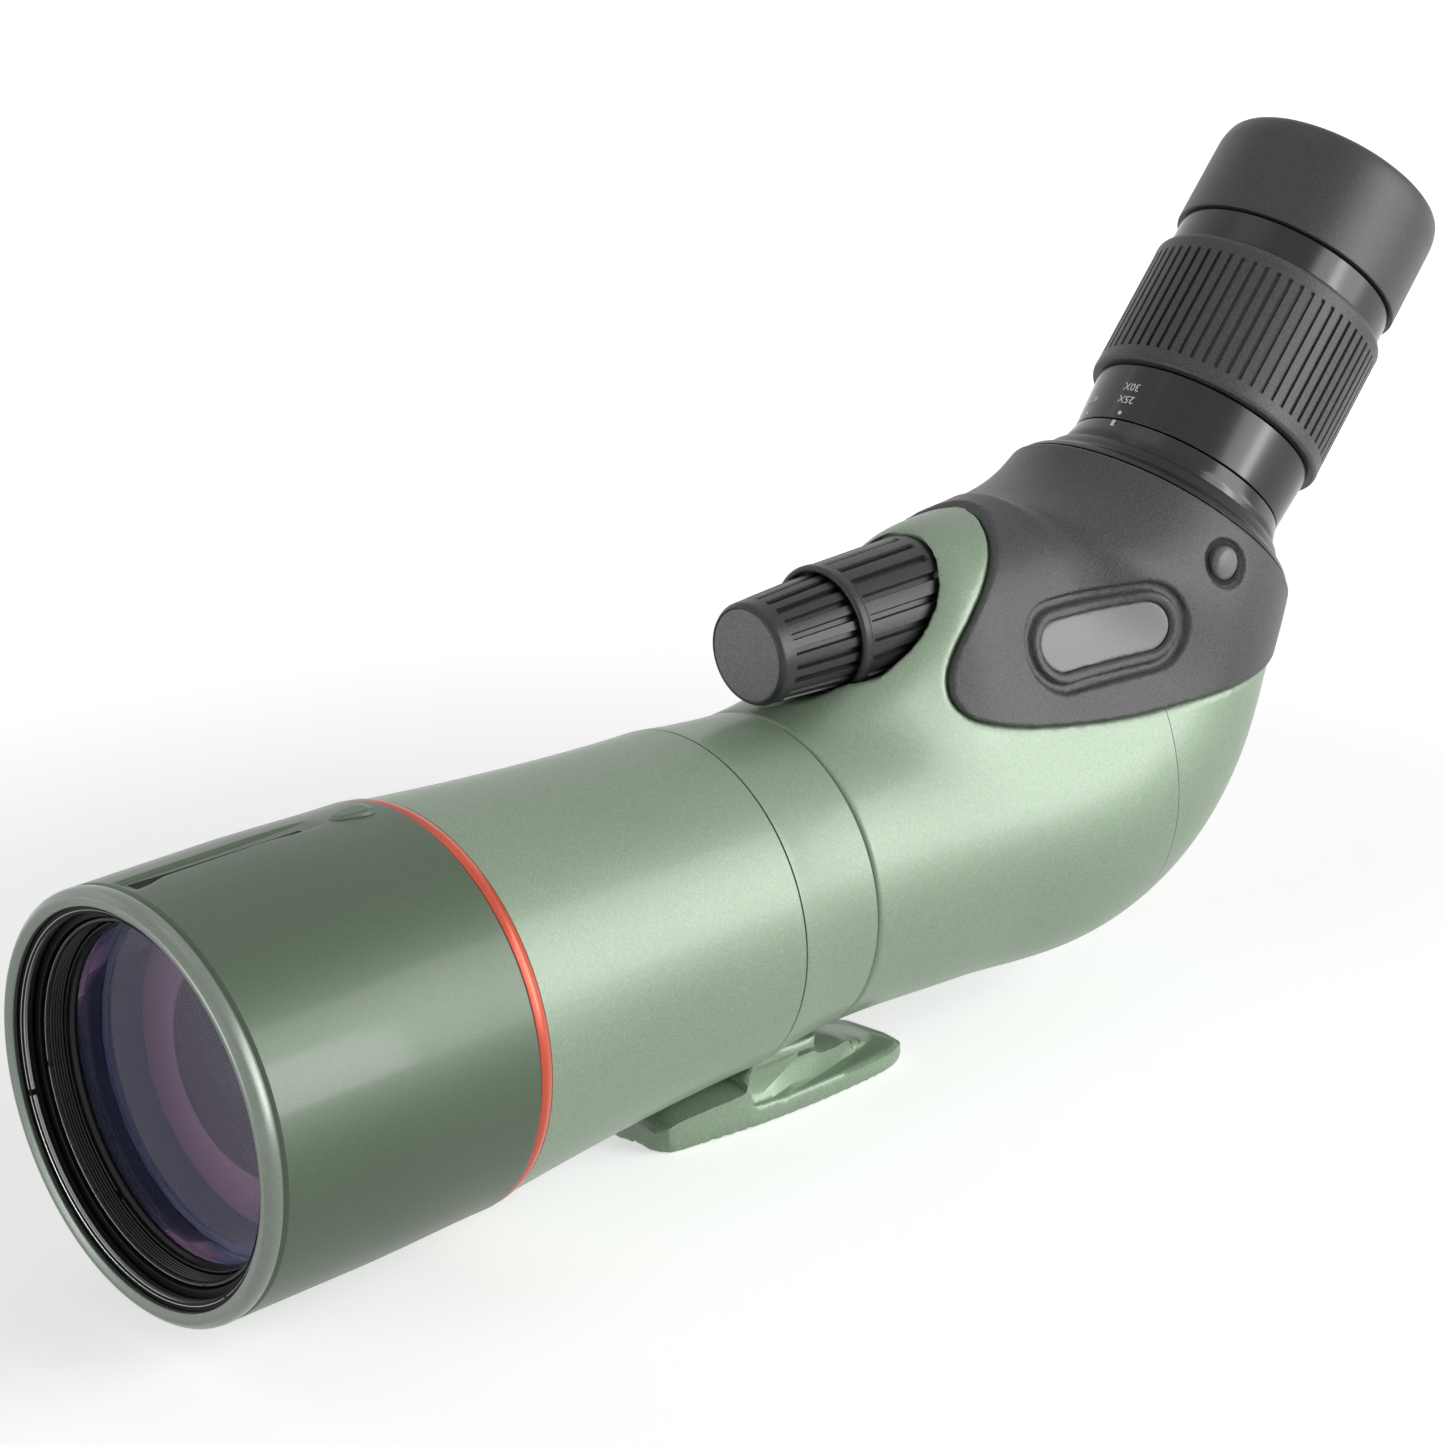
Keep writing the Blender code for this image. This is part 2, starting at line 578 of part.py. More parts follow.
def make_barrel():
    waist = [(barrel_radius(x), x) for x in np.linspace(X_ACCENT, X_BARREL + SEAM, 5)]
    turned("barrel", [(TUBE_RADIUS, X_TUBE), (TUBE_RADIUS, X_ACCENT)] + waist + [
        (SLEEVE_RADIUS, X_BARREL + SEAM), (SLEEVE_RADIUS, X_SLEEVE), (SLEEVE_BORE, X_SLEEVE),
        (SLEEVE_BORE, X_BARREL + 0.0020), (COLLAR_RADIUS - WALL, X_BARREL + 0.0045),
        (TUBE_BORE, X_ACCENT), (TUBE_BORE, X_TUBE)], OPTICAL, BODY_GREEN)
    belly = 0.0002
    turned("accent_ring", [
        (HOOD_REAR_RADIUS - belly, X_HOOD), (HOOD_REAR_RADIUS, X_HOOD - 0.0008),
        (BARREL_RADIUS + 2 * belly, X_ACCENT + 0.0008), (BARREL_RADIUS, X_ACCENT + SEAM),
        (TUBE_RADIUS + SEAM, X_ACCENT + SEAM), (TUBE_RADIUS + SEAM, X_HOOD)],
        OPTICAL, ACCENT_RED)
    rear = X_BARREL
    tube("rear_baffle", SLEEVE_BORE - SEAM - BAFFLE_WIDTH, SLEEVE_BORE - SEAM, rear, rear + 0.0012,
         OPTICAL, MATT_BLACK, INNER_SIDES)


def make_hood():
    """The sliding sunshade with its black liner and the sight groove along its top."""
    lip = 0.0036
    step = 0.0015
    rear = X_HOOD + SEAM
    middle = (X_HOOD + X_FRONT) / 2
    hood = turned("sunshade", [
        (HOOD_BORE + 0.0003, X_FRONT), (HOOD_RADIUS - 0.0011, X_FRONT - 0.0002),
        (HOOD_RADIUS - 0.0003, X_FRONT - 0.0010), (HOOD_RADIUS, X_FRONT - 0.0022),
        (HOOD_RADIUS - 0.0002, X_FRONT - lip), (HOOD_RADIUS - 0.0005, X_FRONT - lip - 0.0003),
        (HOOD_RADIUS - 0.0001, X_FRONT - lip - 0.0010), (HOOD_RADIUS - 0.0001, middle),
        (HOOD_REAR_RADIUS, rear),
        (HOOD_BORE, rear), (HOOD_BORE, X_FRONT - step),
        (HOOD_BORE - 0.0007, X_FRONT - step), (HOOD_BORE - 0.0007, X_FRONT - 0.0005)],
        OPTICAL, HOOD_GREEN)
    sight_rear = X_HOOD + 0.23 * HOOD_LENGTH
    floor = AXIS_HEIGHT + HOOD_RADIUS - 0.0009
    channel = block("sight_channel", (sight_rear, -0.0036, floor),
                    (X_FRONT - lip - 0.0009, 0.0006, floor + 0.004))
    cut(hood, channel)
    bead_top = AXIS_HEIGHT + HOOD_REAR_RADIUS + 0.0006
    bead = slab("sight_bead", [(sight_rear, -0.0004), (sight_rear - 0.0085, 0.0044),
                               (sight_rear - 0.0085, -0.0044)],
                AXIS_HEIGHT + HOOD_BORE + 0.0008, bead_top, "XY")
    join(hood, bead)
    stop = X_TUBE + SEAM
    turned("sunshade_liner", [
        (LINER_RADIUS, X_FRONT - step - SEAM), (LINER_RADIUS, rear + 0.0004),
        (LINER_BORE, rear + 0.0004), (LINER_BORE, stop), (LINER_BORE - 0.0008, stop),
        (LINER_BORE - 0.0008, X_FRONT - step - SEAM)], OPTICAL, MATT_BLACK)


def lens(name, radius, front, rear, bulge_front, bulge_rear, axis,
         sides=BODY_SIDES):
    """A round lens: stations of its edge, and how far each face bulges at the middle."""
    shares = (0.0, 0.6, 1.0)
    ahead = [(radius * s, front + bulge_front * (1 - s * s)) for s in shares]
    behind = [(radius * s, rear - bulge_rear * (1 - s * s)) for s in reversed(shares)]
    return turned(name, ahead + behind, axis, GLASS, sides, False)


def make_objective():
    """Three elements in a black cell, held by a slotted retaining ring."""
    front = X_TUBE - 0.0008
    face = front - 0.0061
    ring = 0.0026
    lip = 0.0020
    edges = {"front": 0.0040, "middle": 0.0060, "rear": 0.0057}
    spacer = 0.0069
    rear = face - sum(edges.values()) - spacer - 3 * SEAM - 0.0001 - lip
    turned("objective_cell", [
        (CELL_RADIUS, front), (CELL_RADIUS, rear), (CELL_BORE - 0.0023, rear),
        (CELL_BORE - 0.0023, rear + lip), (CELL_BORE, rear + lip),
        (CELL_BORE, face + ring), (CELL_BORE + 0.0004, front)], OPTICAL, MATT_BLACK)
    holder = tube("objective_retaining_ring", APERTURE_RADIUS, CELL_BORE - SEAM,
                  face + SEAM, face + ring, OPTICAL, MATT_BLACK)
    for k in range(3):
        angle = math.radians(20 + 120 * k)
        slot = block("spanner_slot_%d" % k, (APERTURE_RADIUS - 0.002, -0.0010, face + ring - 0.0009),
                     (CELL_BORE + 0.002, 0.0010, face + ring + 0.001), OPTICAL)
        slot.rotation_euler = (0.0, 0.0, angle)
        cut(holder, slot)
    first = face - edges["front"]
    lens("objective_lens_front", LENS_RADIUS, face, first, 0.0037, 0.0020, OPTICAL)
    second = first - SEAM
    third = second - edges["middle"]
    lens("objective_lens_middle", LENS_RADIUS, second, third, -0.0026, -0.0012, OPTICAL,
         INNER_SIDES)
    tube("lens_spacer", LENS_RADIUS - 0.0016, LENS_RADIUS, third - SEAM - spacer, third - SEAM,
         OPTICAL, MATT_BLACK, INNER_SIDES)
    fourth = third - spacer - 2 * SEAM
    lens("objective_lens_rear", LENS_RADIUS, fourth, fourth - edges["rear"], 0.0025, 0.0005,
         OPTICAL, INNER_SIDES)


# ------------------------------------------------------------------------ prism housing
# Each row: station, belly's drop, belly's swell, hump's rise, hump's radius, fill.
# The section is the outline swept by a circle from the belly to the hump, whose middle
# is drawn in a little where fill is under 1. The rise is a share of the knobs' height.
HUMP_HEIGHT = KNOB_RISE - 0.0053
NOSE_ROWS = [(SEAM, 0.0, 0.0, 0.0, HOUSING_RADIUS, 1.0),
             (0.0137, 0.0, 0.0, 0.34, 0.0220, 0.97),
             (0.0287, -0.0013, 0.0, 0.63, 0.0200, 0.97),
             (0.0417, -0.0017, 0.0001, 0.93, 0.0210, 0.98),
             (0.0487, -0.0019, 0.0006, 1.0, 0.0215, 1.0),
             (0.0687, -0.0023, 0.0026, 1.0, 0.0215, 1.0)]
BEND_ROWS = [(0.0, -0.0023, 0.0026, 1.0, 0.0215, 1.0),
             (12.0, -0.0034, 0.0034, 0.912, 0.0233, 1.0),
             (24.0, -0.0046, 0.0028, 0.649, 0.0272, 1.0),
             (36.0, -0.0042, 0.0022, 0.402, 0.0316, 1.0),
             (45.0, -0.0021, 0.0019, 0.221, 0.0331, 1.0)]
NECK_ROWS = [(0.0, -0.0021, 0.0019, 0.221, 0.0331, 1.0),
             (0.55, -0.0007, 0.0010, 0.035, PORT_RADIUS, 1.0),
             (1.0, 0.0, PORT_RADIUS - HOUSING_RADIUS, 0.0, PORT_RADIUS, 1.0)]


def egg(low, low_radius, high, high_radius, fill, sides):
    """Points (across, up) of the outline swept by a circle from low to high."""
    centre = low + 0.26 * max(high - low, 0.0)
    angles = np.linspace(0.0, 2 * math.pi, sides, endpoint=False)
    across, up = np.cos(angles), np.sin(angles)
    reach = np.zeros(sides)
    for t in np.linspace(0.0, 1.0, 13):
        middle = low + (high - low) * t
        radius = (low_radius + (high_radius - low_radius) * t) * (1 - (1 - fill) * 4 * t * (1 - t))
        offset = centre - middle
        root = (up * offset) ** 2 - (offset ** 2 - radius ** 2)
        hit = np.where(root >= 0, np.sqrt(np.maximum(root, 0.0)) - up * offset, 0.0)
        reach = np.maximum(reach, hit)
    return np.stack([across * reach, centre + up * reach], axis=1)


def spine(row, kind):
    """A section's centre and its up direction in the XZ plane."""
    eye = np.array([-math.cos(EYEPIECE_ANGLE), math.sin(EYEPIECE_ANGLE)])
    across = np.array([math.sin(EYEPIECE_ANGLE), math.cos(EYEPIECE_ANGLE)])
    fold = np.array([X_FOLD, AXIS_HEIGHT])
    pivot = fold + np.array([PIVOT_AHEAD, PIVOT_RISE])
    if kind == "nose":
        reach = (X_COLLAR - pivot[0]) / NOSE_ROWS[-1][0]
        return np.array([X_COLLAR - row[0] * reach, AXIS_HEIGHT]), np.array([0.0, 1.0])
    foot_of_pivot = float((pivot - fold) @ eye)
    if kind == "neck":
        station = foot_of_pivot + (S_PORT - foot_of_pivot) * row[0]
        return fold + station * eye, across
    share = row[0] / BEND_ROWS[-1][0]
    angle = share * (math.pi / 2 - EYEPIECE_ANGLE)
    up = np.array([math.sin(angle), math.cos(angle)])
    near = float((pivot - fold) @ across)
    reach = PIVOT_RISE + (near - PIVOT_RISE) * share ** 1.3
    return pivot - reach * up, up


def shell_rings(grow, sides, steps, past=0.0):
    """Rings of the housing's form, offset outward by grow, its ends moved out by past."""
    rings = []
    for kind, rows, count in (("nose", NOSE_ROWS, steps), ("bend", BEND_ROWS, steps),
                              ("neck", NECK_ROWS, max(steps - 1, 1))):
        line = smooth_line(rows, count)
        for row in line if kind == "nose" else line[1:]:
            centre, up = spine(row, kind)
            outline = egg(row[1], HOUSING_RADIUS + row[2] + grow, row[3] * HUMP_HEIGHT,
                          row[4] + grow, row[5], sides)
            rings.append([(centre[0] + up[0] * v, y, centre[1] + up[1] * v)
                          for y, v in outline])
    rings[0] = [(x + past, y, z) for x, y, z in rings[0]]
    rings[-1] = [(x - past * math.cos(EYEPIECE_ANGLE), y, z + past * math.sin(EYEPIECE_ANGLE))
                 for x, y, z in rings[-1]]
    return rings


def loft(name, rings, parent=None, material=None, group=CUTTERS):
    """Skin a row of rings that all have the same number of points, and cap the ends."""
    work = bmesh.new()
    made = [[work.verts.new(point) for point in ring] for ring in rings]
    count = len(made[0])
    for a, b in zip(made[:-1], made[1:]):
        for i in range(count):
            j = (i + 1) % count
            work.faces.new((a[i], a[j], b[j], b[i]))
    work.faces.new(made[0])
    work.faces.new(made[-1])
    bmesh.ops.triangulate(work, faces=work.faces)
    bmesh.ops.recalc_face_normals(work, faces=work.faces)
    mesh = bpy.data.meshes.new(name)
    work.to_mesh(mesh)
    work.free()
    return place(name, mesh, parent, material, group)


def armour_outline(grow):
    """The armour's side outline in XZ: a lobe in front, a level lower edge, open behind."""
    lobe = [(-0.0080, 0.0775), (0.0040, 0.0675), (0.0126, 0.0619), (0.0190, 0.0562),
            (0.0298, 0.0467), (0.0365, 0.0395), (0.0392, 0.0340), (0.0386, 0.0296),
            (0.0342, 0.0260), (0.0217, 0.0223), (0.0004, 0.0191), (-0.0207, 0.0186),
            (-0.0430, 0.0186), (-0.0700, 0.0186)]
    line = smooth_line(lobe, 2)
    along = np.gradient(line, axis=0)
    outward = np.stack([-along[:, 1], along[:, 0]], axis=1)
    line = line + grow * outward / np.linalg.norm(outward, axis=1)[:, None]
    behind = 0.0900
    points = [tuple(p) for p in line] + [(-behind, line[-1][1]), (-behind, behind),
                                         (line[0][0], behind)]
    return [(X_FOLD + x, AXIS_HEIGHT + z) for x, z in points]


def pocket_profile(grow, front, rear):
    """The hollow that the focus knobs turn in, larger than them by the pocket gap."""
    return [(0.0, front), (FINE_RADIUS_FRONT + POCKET_GAP + grow, front),
            (FINE_RADIUS_REAR + POCKET_GAP + grow, X_COARSE + 0.0015),
            (POCKET_RADIUS + grow, X_COARSE - 0.0020), (POCKET_RADIUS + grow, rear),
            (0.0, rear)]


def button_place():
    """The release button's axis, and the y of the armour's face there."""
    lean = math.pi / 2 - EYEPIECE_ANGLE
    x = X_FOLD - BUTTON_STATION * math.sin(lean) + BUTTON_OFFSET * math.cos(lean)
    z = AXIS_HEIGHT + BUTTON_STATION * math.cos(lean) + BUTTON_OFFSET * math.sin(lean)
    face = math.sqrt((PORT_RADIUS + ARMOUR_PROUD) ** 2 - BUTTON_OFFSET ** 2)
    return x, z, face


def make_shell():
    """The cast shell before the cover is parted from it."""
    wide, past = 0.060, 0.003
    x_button, z_button, face = button_place()
    seat = slab("seat_side", armour_outline(SEAM), -wide, wide, "XZ")
    keep(seat, loft("seat_reach", shell_rings(past, SHELL_SIDES, 1, 2 * past)), solver=CLEAN)
    cut(seat, loft("seat_floor", shell_rings(-ARMOUR_SEAT, SHELL_SIDES, 1, past)), solver=CLEAN)

    cavity = loft("cavity", shell_rings(-WALL - SEAM, CAVITY_SIDES, 1, past))
    above = block("above_port_plate", (-wide, -wide, S_PORT - PORT_PLATE),
                  (wide, wide, S_PORT + wide), EYEPIECE)
    guard = turned("pocket_guard", pocket_profile(WALL, X_FINE + 0.004, X_POCKET - WALL),
                   KNOBS, sides=KNOB_SIDES, closed=False, group=CUTTERS)
    bush = peg("button_bush", BUTTON_RADIUS + WALL, (x_button, SPIGOT_RADIUS + 0.0010, z_button),
               (0, 1, 0), 0.030, 24)
    cut(cavity, above, guard, bush, solver=CLEAN)

    shell = loft("housing_shell", shell_rings(0.0, SHELL_SIDES, 2))
    sleeve = rod("sleeve_bore", SLEEVE_RADIUS + SEAM, X_SLEEVE - 0.0050, X_COLLAR + past, OPTICAL,
                 sides=BODY_SIDES, group=CUTTERS)
    pocket = turned("knob_pocket", pocket_profile(0.0, X_FINE + 0.004, X_POCKET), KNOBS,
                    sides=KNOB_SIDES, closed=False, group=CUTTERS)
    port = rod("port_bore", PORT_BORE, S_PORT - 0.02, S_PORT + 0.01, EYEPIECE,
               sides=EYEPIECE_SIDES, group=CUTTERS)
    shaft = rod("shaft_bore", COARSE_SHAFT_RADIUS + SEAM, X_POCKET - 0.010, X_POCKET + 0.002,
                KNOBS, group=CUTTERS)
    well = peg("button_well", BUTTON_RADIUS + SEAM, (x_button, face - BUTTON_WELL, z_button),
               (0, 1, 0), 0.020)
    pin = peg("pin_bore", LATCH_PIN_RADIUS + SEAM, (x_button, SPIGOT_RADIUS - 0.003, z_button),
              (0, 1, 0), 0.020, 12)
    return cut(shell, seat, cavity, sleeve, pocket, port, shaft, well, pin, solver=CLEAN)


def make_housing():
    """The housing and its rear cover, parted down behind the prism and under the armour."""
    shell = make_shell()
    roof = AXIS_HEIGHT + COVER_TOP
    low = (X_FOLD - 0.100, -0.060, -0.010)
    cover_side = block("cover_side", low, (X_COVER - SEAM / 2, 0.060, roof - SEAM / 2))
    body_side = block("body_side", low, (X_COVER + SEAM / 2, 0.060, roof + SEAM / 2))
    housing = cut(baked("prism_housing", shell, material=BODY_GREEN), body_side, solver=CLEAN)
    cover = keep(baked("rear_cover", shell, material=BODY_GREEN), cover_side, solver=CLEAN)
    shade(housing)
    shade(cover)


def make_armour():
    """Rubber skin over the top and rear of the housing, with the bare nameplate's frame."""
    wide, past = 0.060, 0.003
    floor = shell_rings(SEAM - ARMOUR_SEAT, SHELL_SIDES, 1, past)
    armour = slab("armour", armour_outline(0.0), -wide, wide, "XZ", material=RUBBER, group=PARTS)
    keep(armour, loft("armour_face", shell_rings(ARMOUR_PROUD, SHELL_SIDES, 2)), solver=CLEAN)
    cut(armour, loft("armour_floor", floor), solver=CLEAN)

    middle = (X_FOLD, AXIS_HEIGHT + BADGE_RISE)
    frame = 2 * BADGE_FRAME
    margin = frame + 2 * BADGE_MARGIN
    moat = slab("badge_moat", stadium(middle, BADGE_LENGTH + margin, BADGE_HEIGHT + margin, 6),
                0.0, wide, "XZ")
    rim = slab("badge_rim", stadium(middle, BADGE_LENGTH + frame, BADGE_HEIGHT + frame, 6),
               -0.001, wide + 0.001, "XZ")
    bed = shell_rings(ARMOUR_PROUD - BADGE_RAISE, SHELL_SIDES, 2, past)
    cut(moat, rim, loft("moat_floor", bed), solver=CLEAN)
    window = slab("badge_window", stadium(middle, BADGE_LENGTH + 2 * SEAM,
                                          BADGE_HEIGHT + 2 * SEAM, 6), 0.0, wide, "XZ")
    x_button, z_button, face = button_place()
    recess = peg("button_recess", BUTTON_RECESS, (x_button, face - 0.006, z_button), (0, 1, 0),
                 0.015, 20)
    cut(recess, loft("recess_floor", shell_rings(ARMOUR_PROUD - BUTTON_RECESS_DEPTH,
                                                 SHELL_SIDES, 2, past)), solver=CLEAN)
    hole = peg("button_hole", BUTTON_RADIUS + SEAM, (x_button, face - 0.008, z_button),
               (0, 1, 0), 0.020)
    knobs = turned("armour_pocket", pocket_profile(0.0, X_FINE + 0.004, X_POCKET), KNOBS,
                   sides=KNOB_SIDES, closed=False, group=CUTTERS)
    cut(armour, moat, window, recess, hole, knobs, solver=CLEAN)
    plate = slab("badge_plate", stadium(middle, BADGE_LENGTH, BADGE_HEIGHT, 6), 0.0, wide, "XZ",
                 material=NAMEPLATE, group=PARTS)
    keep(plate, loft("plate_face", shell_rings(ARMOUR_PROUD - SEAM, SHELL_SIDES, 2)), solver=CLEAN)
    cut(plate, loft("plate_floor", floor), solver=CLEAN)


def make_release():
    """The eyepiece release: a button with a latch pin, on a return spring."""
    x_button, z_button, face = button_place()
    axis = empty("button_axis", (x_button, 0.0, z_button))
    axis.rotation_euler = (-math.pi / 2, 0.0, 0.0)
    floor = face - BUTTON_WELL
    under = floor + BUTTON_TRAVEL + 0.0020
    spigot = math.sqrt(SPIGOT_RADIUS ** 2 - (BUTTON_OFFSET - LATCH_PIN_RADIUS) ** 2)
    tip = spigot + BUTTON_TRAVEL + SEAM
    top = face + BUTTON_STAND - 0.0003
    turned("release_button", [
        (0.0, top + 0.0003), (0.6 * BUTTON_RADIUS, top + 0.0001), (BUTTON_RADIUS - 0.0004, top - 0.0004),
        (BUTTON_RADIUS, top - 0.0009), (BUTTON_RADIUS, under), (LATCH_PIN_RADIUS, under),
        (LATCH_PIN_RADIUS, tip), (0.0, tip)], axis, KNOB_BLACK, SMALL_SIDES, False)
    wire = 0.00022
    turns, per_turn = 2.5, 10
    coil_radius = (LATCH_PIN_RADIUS + BUTTON_RADIUS) / 2 + 0.0002
    line = bpy.data.curves.new("release_spring", "CURVE")
    line.dimensions = "3D"
    line.bevel_depth = wire
    line.bevel_resolution = 0
    line.use_fill_caps = True
    count = int(turns * per_turn) + 1
    spline = line.splines.new("POLY")
    spline.points.add(count - 1)
    for k in range(count):
        angle = 2 * math.pi * k / per_turn
        height = floor + wire + 0.0001 + 0.0014 * k / (count - 1)
        spline.points[k].co = (coil_radius * math.cos(angle), coil_radius * math.sin(angle),
                               height, 1.0)
    place("release_spring", line, axis, STEEL)


# ------------------------------------------------------------------- focusing mechanism
def make_knobs():
    """The coarse knob behind, the fine knob in front, each on its own shaft."""
    bore = FINE_SHAFT_RADIUS + SEAM
    coarse_bore = COARSE_SHAFT_RADIUS + SEAM
    seat = 0.0060
    recess = FINE_RADIUS_REAR + SEAM
    floor = X_COARSE - KNOB_LAP - 2 * SEAM
    coarse = turned("coarse_focus_knob", [
        (COARSE_RADIUS_FRONT - 0.0005, X_COARSE), (COARSE_RADIUS_FRONT, X_COARSE - 0.0006),
        (COARSE_RADIUS_REAR, X_KNOB_REAR),
        (coarse_bore, X_KNOB_REAR), (coarse_bore, X_KNOB_REAR + seat),
        (bore, X_KNOB_REAR + seat), (bore, floor), (recess, floor), (recess, X_COARSE)],
        KNOBS, KNOB_BLACK, KNOB_SIDES)
    ribs(coarse, KNOBS, COARSE_RIBS, COARSE_RADIUS_REAR, COARSE_RADIUS_FRONT,
         X_KNOB_REAR + 0.0025, X_COARSE - 0.0030)
    rear = X_COARSE - KNOB_LAP
    blind = X_FINE - 0.0050
    fine = turned("fine_focus_knob", [
        (0.0, X_FINE), (FINE_RADIUS_FRONT - 0.0006, X_FINE), (FINE_RADIUS_FRONT, X_FINE - 0.0006),
        (FINE_RADIUS_REAR, rear), (bore, rear), (bore, blind), (0.0, blind)],
        KNOBS, KNOB_BLACK, KNOB_SIDES + 4, False)
    slope = (FINE_RADIUS_REAR - FINE_RADIUS_FRONT) / (X_FINE - rear)
    low, high = rear - 0.001, X_FINE - 0.0030
    ribs(fine, KNOBS, FINE_RIBS, FINE_RADIUS_REAR + 0.001 * slope,
         FINE_RADIUS_REAR - (high - rear) * slope, low, high)
    rod("fine_focus_shaft", FINE_SHAFT_RADIUS, X_PLATE - 0.0010, blind - SEAM, KNOBS, STEEL, 16)
    tube("coarse_focus_shaft", bore, COARSE_SHAFT_RADIUS, X_PLATE + BRACKET_PLATE + 0.0020,
         X_KNOB_REAR + seat - SEAM, KNOBS, BRASS, SMALL_SIDES)


def make_carriage():
    """The focusing carriage on its guide rod, and the lens cell that the fine knob moves."""
    rear = X_PLATE + BRACKET_PLATE + CARRIAGE_REAR
    front = rear + CARRIAGE_LENGTH
    bore = CARRIAGE_RADIUS - CARRIAGE_WALL
    carriage = tube("focus_carriage", bore, CARRIAGE_RADIUS, rear, front, OPTICAL, MATT_BLACK,
                    INNER_SIDES)
    nut_z = AXIS_HEIGHT + KNOB_RISE
    ring_z = AXIS_HEIGHT + CARRIAGE_RADIUS - 0.0008
    arm = block("nut_arm", (rear, -0.0040, ring_z), (rear + NUT_LENGTH, 0.0040, nut_z))
    nut = peg("nut", NUT_RADIUS, (rear, 0.0, nut_z), (1, 0, 0), NUT_LENGTH, 16)
    ear = block("rod_ear", (rear, -0.0028, AXIS_HEIGHT - ROD_DROP - ROD_RADIUS - 0.0010),
                (front, 0.0028, AXIS_HEIGHT - CARRIAGE_RADIUS + 0.0008))
    join(carriage, arm, nut, ear, solver=CLEAN)
    thread = peg("nut_bore", COARSE_SHAFT_RADIUS + SEAM, (rear - 0.001, 0.0, nut_z), (1, 0, 0),
                 NUT_LENGTH + 0.002, SMALL_SIDES)
    rod_bore = peg("rod_bore", ROD_RADIUS + SEAM, (rear - 0.001, 0.0, AXIS_HEIGHT - ROD_DROP),
                   (1, 0, 0), CARRIAGE_LENGTH + 0.002, 12)
    cut(carriage, thread, rod_bore, solver=CLEAN)

    cell = bore - SEAM
    seat = cell - CELL_RING
    low = rear + 0.0050
    high = front - 0.0045
    turned("focus_cell", [
        (cell, high), (cell, low), (seat - 0.0016, low), (seat - 0.0016, low + 0.0020),
        (seat, low + 0.0020), (seat, high)], OPTICAL, MATT_BLACK, INNER_SIDES)
    lens("focus_lens", seat - SEAM, low + 0.0090, low + 0.0020 + SEAM, -0.0022, -0.0012, OPTICAL,
         INNER_SIDES)

    plate_rear = X_SLEEVE - SEAM - 0.0022
    plate = tube("focus_front_plate", SLEEVE_RADIUS - FRONT_PLATE_WIDTH, SLEEVE_RADIUS, plate_rear,
                 X_SLEEVE - SEAM, OPTICAL, MATT_BLACK, INNER_SIDES)
    hole = peg("front_rod_hole", ROD_RADIUS + SEAM, (plate_rear - 0.001, 0.0, AXIS_HEIGHT - ROD_DROP),
               (1, 0, 0), 0.0025, 12)
    cut(plate, hole)
    rod_axis = empty("rod_axis", (0.0, 0.0, AXIS_HEIGHT - ROD_DROP), math.pi / 2)
    rod("focus_guide_rod", ROD_RADIUS, X_PLATE + 0.0005, plate_rear + 0.0012, rod_axis, STEEL, 12)


